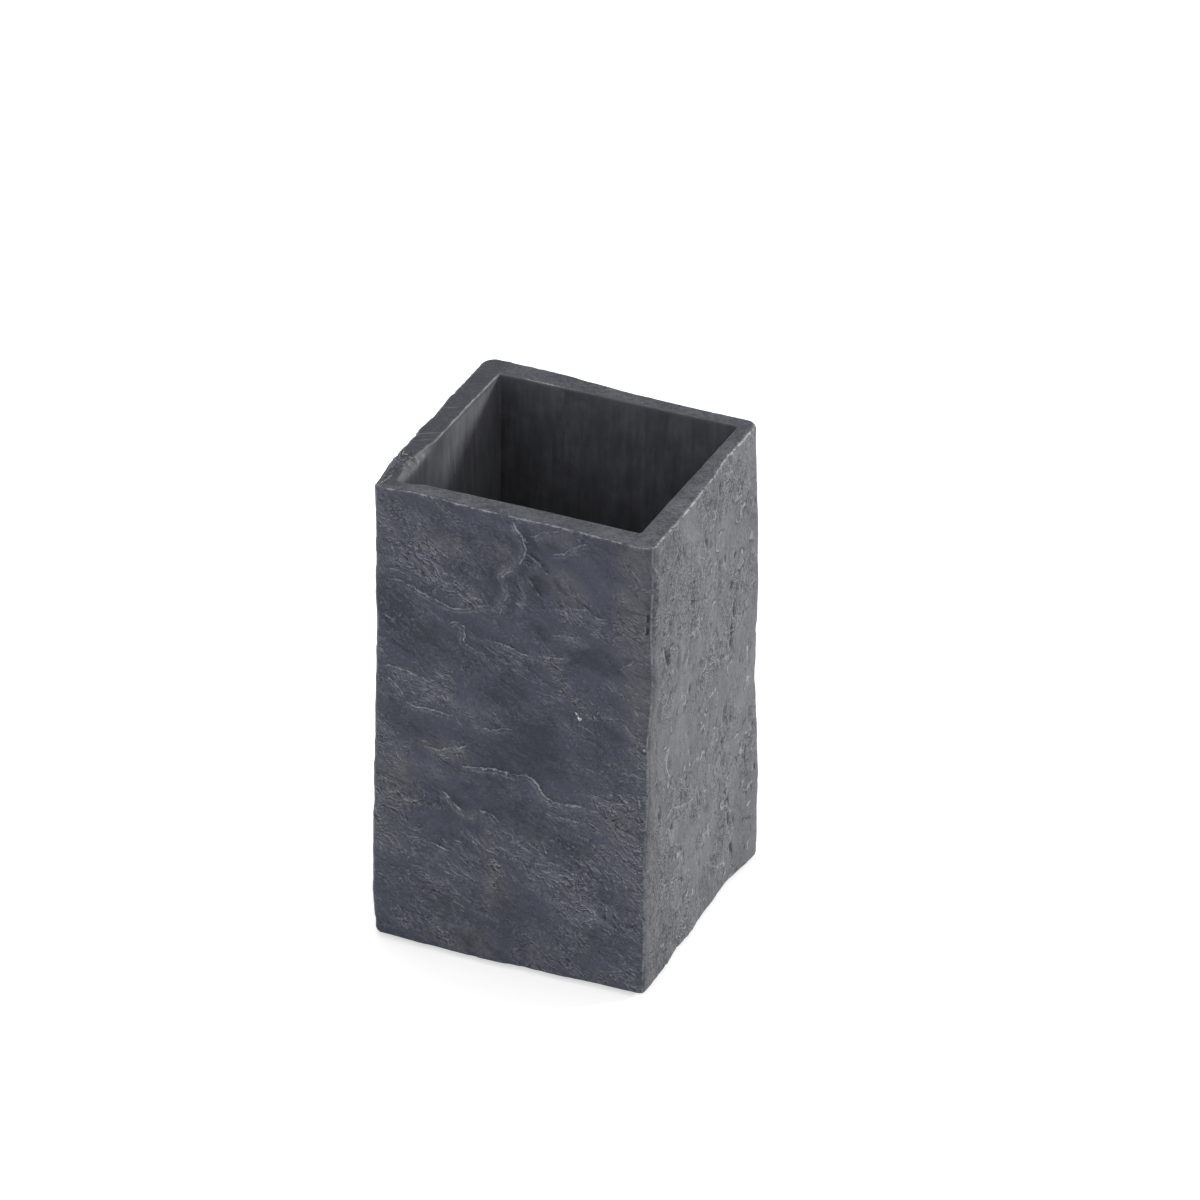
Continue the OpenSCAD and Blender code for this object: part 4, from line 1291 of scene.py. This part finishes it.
class TumblerLook(bpy.types.PropertyGroup):
    """Colours of the finishes."""

    split_dark: colour("Split Dark", "Dark grain of the split walls", 0.038, 0.042, 0.058)
    split_mid: colour("Split Middle", "Middle tone of the split walls", 0.066, 0.072, 0.101)
    split_light: colour("Split Light", "Pale grain of the split walls", 0.112, 0.119, 0.150)
    scuff: colour("Scuff", "Scuffed grain", 0.150, 0.153, 0.180)
    scuff_line: colour("Scuff Line", "Pale lines along the layers", 0.250, 0.260, 0.296)
    rust: colour("Rust", "Iron stain in the stone", 0.142, 0.138, 0.135)
    filler: colour("Filler", "White filler that fresh chips show", 0.80, 0.80, 0.78)
    worn: colour("Worn", "Crests that are worn pale", 0.285, 0.298, 0.326)
    # The crevice colour below is also painted shade: dark lines beside the ledge lines and under
    # the plate steps, and the near part of the cavity's inner left wall.
    crevice_and_shade: colour("Crevice", "Cracks and hollows", 0.020, 0.022, 0.030)
    broken_dark: colour("Broken Dark", "Dark grain of the broken walls", 0.066, 0.067, 0.075)
    broken_light: colour("Broken Light", "Pale grain of the broken walls", 0.208, 0.210, 0.224)
    # Scar also paints the lit side of small chips; Dash also paints their shaded side and the shade
    # under scars.
    broken_scar_and_lit_side: colour("Scar", "Pale scars of the broken walls", 0.330, 0.332, 0.340)
    broken_dash_and_shade: colour("Dash", "Dark dashes of the broken walls", 0.050, 0.050, 0.056)
    rim_dark: colour("Rim Dark", "Dark grain of the cut rim", 0.032, 0.034, 0.043)
    rim_light: colour("Rim Light", "Pale grain of the cut rim", 0.098, 0.101, 0.117)
    # The colour below is partly edge wear and partly painted highlight.
    edge_wear_and_highlight: colour("Bright Edge", "Worn edges of the rim and mouth", 0.40, 0.40, 0.40)
    skin_dark: colour("Skin Dark", "Dark tone of the moulded skin", 0.047, 0.048, 0.057)
    skin_light: colour("Skin Light", "Pale tone of the moulded skin", 0.080, 0.082, 0.093)
    # The colour below is painted light: the pool of light on the far part of the cavity's inner
    # left wall
    skin_painted_light: colour("Skin Painted Light", "Moulded skin that is rubbed pale", 0.150, 0.152, 0.168)
    foam_dark: colour("Foam Dark", "Cells of the feet", 0.010, 0.010, 0.011)
    foam_light: colour("Foam Light", "Skin of the feet", 0.026, 0.026, 0.028)
    film_dark: colour("Film Dark", "Clear parts of the adhesive", 0.46, 0.44, 0.37)
    film_light: colour("Film Light", "Clouded parts of the adhesive", 0.62, 0.60, 0.53)


class TumblerStudio(bpy.types.PropertyGroup):
    """The camera and the lights."""

    azimuth: angle("Azimuth", "Turn of the camera to the right of the front", 22.04)
    elevation: angle("Elevation", "Height of the camera over the level", 29.17)
    roll: angle("Roll", "Roll of the camera", 1.1)
    distance: length("Distance", "Distance from the camera to its target", 2000.0)
    lens: number("Lens", "Focal length in mm", 293.376)
    key_power: number("Key Power", "Power of the key light in watts", 13.0)
    top_power: number("Top Power", "Power of the light above in watts", 5.0)
    fill_power: number("Fill Power", "Power of the front light in watts", 6.0)
    world_strength: number("World Strength", "Strength of the even light", 0.55)
    floor_glow: number("Floor Glow", "Light that the floor shows to the camera by itself", 0.5)


FLOOR_REACH = 3.0
CAMERA_TARGET = Vector((7.26, 0.20, 72.03)) * MM
LAMP_TARGET = Vector((0, 0, 0.06))
# Name, place, side and power setting of each lamp
LAMPS = [
    ("key_right", (0.893, 0.80, 0.417), 0.22, "key_power"),
    ("soft_top", (-0.1, 0.1, 1.4), 1.0, "top_power"),
    ("fill_front", (-0.5, -1.3, 0.7), 1.0, "fill_power"),
]


# Operators


class TUMBLER_OT_casting(bpy.types.Operator):
    """Build the slate casting over its packed solid"""

    bl_idname = "tumbler.casting"
    bl_label = "Casting"

    def execute(self, context):
        skin = Skin(context.scene.tumbler_shape)
        bm, station, level = build_casting(skin)
        rings, stations = (np.array([round(v[layer]) for v in bm.verts])
                           for layer in (level, station))
        heights = np.array([v.co.z for v in bm.verts]) / MM
        on_skin = np.abs(heights - skin.points[rings, stations, 2]) < 1e-3
        for name in ("station", "level"):
            bm.verts.layers.float.remove(bm.verts.layers.float[name])
        casting = mesh_object("slate_tumbler", bm)
        casting.data.set_sharp_from_angle(angle=SHARP_ANGLE)
        # Each mark of the skin becomes an attribute of the mesh's points
        for name, values in skin.marks.items():
            stored = np.where(on_skin, values[rings, stations], at_rest(name)).astype(np.float32)
            casting.data.attributes.new(name, "FLOAT", "POINT").data.foreach_set("value", stored)
        for finish in (slate_finish, rim_finish, moulded_finish):
            casting.data.materials.append(finish(context.scene.tumbler_look))
        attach(casting, body_name())
        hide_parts(BODY)
        return {"FINISHED"}


def dress(names, finish):
    """Gives CAD nodes their finish. Their meshes stay as they are."""
    for name in names:
        for slot in frame["nodes"][name].material_slots:
            slot.material = finish


class TUMBLER_OT_feet(bpy.types.Operator):
    """Give the four foam feet their finish"""

    bl_idname = "tumbler.feet"
    bl_label = "Feet"

    def execute(self, context):
        dress(FEET, foam_finish(context.scene.tumbler_look))
        return {"FINISHED"}


class TUMBLER_OT_adhesive(bpy.types.Operator):
    """Give the four adhesive discs their finish"""

    bl_idname = "tumbler.adhesive"
    bl_label = "Adhesive Discs"

    def execute(self, context):
        dress(DISCS, film_finish(context.scene.tumbler_look))
        return {"FINISHED"}


class TUMBLER_OT_studio(bpy.types.Operator):
    """Set up the floor, the lights and the camera"""

    bl_idname = "tumbler.studio"
    bl_label = "Studio"

    def execute(self, context):
        studio = context.scene.tumbler_studio
        lay_floor(studio)
        light_world(studio)
        for name, place, side, power in LAMPS:
            hang_lamp(name, Vector(place), side, getattr(studio, power))
        place_camera(studio)
        context.scene.view_settings.view_transform = "Standard"
        return {"FINISHED"}


def lay_floor(studio):
    """A pale floor that keeps the shadow. From below it can be seen through."""
    bm = bmesh.new()
    bmesh.ops.create_grid(bm, x_segments=1, y_segments=1, size=FLOOR_REACH)
    floor = mesh_object("floor", bm)
    material = bpy.data.materials.new("floor_paper")
    material.use_nodes = True
    board = Board(material.node_tree)
    board.tree.nodes.remove(board.tree.nodes["Principled BSDF"])
    paper = board.value("ShaderNodeBsdfDiffuse", {"Color": (0.80, 0.80, 0.80, 1)})
    glow = board.value("ShaderNodeEmission", {"Strength": board.to_eye() * studio.floor_glow})
    shown = board.value("ShaderNodeAddShader", {0: paper, 1: glow})
    below = board.value("ShaderNodeNewGeometry", output="Backfacing")
    clear = board.value("ShaderNodeBsdfTransparent")
    board.feed(board.tree.nodes["Material Output"].inputs["Surface"],
               board.value("ShaderNodeMixShader", {0: below, 1: shown, 2: clear}))
    floor.data.materials.append(material)


def light_world(studio):
    world = bpy.data.worlds.new("studio")
    world.use_nodes = True
    bpy.context.scene.world = world
    board = Board(world.node_tree)
    background = world.node_tree.nodes["Background"].inputs
    background["Color"].default_value = (1, 1, 1, 1)
    board.feed(background["Strength"], board.to_eye().step(0.0, 1.0, studio.world_strength, 1.0))


def hang_lamp(name, place, side, power):
    lamp = bpy.data.lights.new(name, "AREA")
    lamp.shape = "SQUARE"
    lamp.size = side
    lamp.energy = power
    obj = bpy.data.objects.new(name, lamp)
    obj.location = place
    obj.rotation_euler = (LAMP_TARGET - place).to_track_quat("-Z", "Y").to_euler()
    bpy.context.collection.objects.link(obj)


def place_camera(studio):
    a, e, r = studio.azimuth, studio.elevation, studio.roll
    back = Vector((math.sin(a) * math.cos(e), -math.cos(a) * math.cos(e), math.sin(e)))
    right = (-back).cross(Vector((0, 0, 1))).normalized()
    up = right.cross(-back)
    across = right * math.cos(r) + up * math.sin(r)
    upward = up * math.cos(r) - right * math.sin(r)
    camera = bpy.data.cameras.new("photo_view")
    camera.lens = studio.lens
    camera.sensor_width = 36.0
    camera.clip_end = 10.0
    obj = bpy.data.objects.new("photo_view", camera)
    turn = Matrix((across, upward, back)).transposed().to_4x4()
    obj.matrix_world = Matrix.Translation(CAMERA_TARGET + back * studio.distance) @ turn
    bpy.context.collection.objects.link(obj)
    bpy.context.scene.camera = obj


STEPS = (TUMBLER_OT_casting, TUMBLER_OT_feet, TUMBLER_OT_adhesive, TUMBLER_OT_studio)
SETTINGS = ((TumblerShape, "tumbler_shape"), (TumblerLook, "tumbler_look"),
            (TumblerStudio, "tumbler_studio"))


class TUMBLER_PT_steps(bpy.types.Panel):
    """Lists the steps that build the tumbler, and its settings"""

    bl_idname = "TUMBLER_PT_steps"
    bl_label = "Slate Tumbler"
    bl_space_type = "VIEW_3D"
    bl_region_type = "UI"
    bl_category = "Tumbler"

    def draw(self, context):
        for step in STEPS:
            self.layout.operator(step.bl_idname)
        for group, keep in SETTINGS:
            self.layout.label(text=group.__doc__)
            for setting in group.__annotations__:
                self.layout.prop(getattr(context.scene, keep), setting)


CLASSES = (*(group for group, _ in SETTINGS), *STEPS, TUMBLER_PT_steps)


def register():
    for item in CLASSES:
        bpy.utils.register_class(item)
    for group, keep in SETTINGS:
        setattr(bpy.types.Scene, keep, bpy.props.PointerProperty(type=group))


def unregister():
    for _, keep in SETTINGS:
        delattr(bpy.types.Scene, keep)
    for item in reversed(CLASSES):
        bpy.utils.unregister_class(item)


def main():
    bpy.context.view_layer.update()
    register()
    bpy.ops.tumbler.casting()
    bpy.ops.tumbler.feet()
    bpy.ops.tumbler.adhesive()
    bpy.ops.tumbler.studio()


if __name__ == "__main__":
    main()
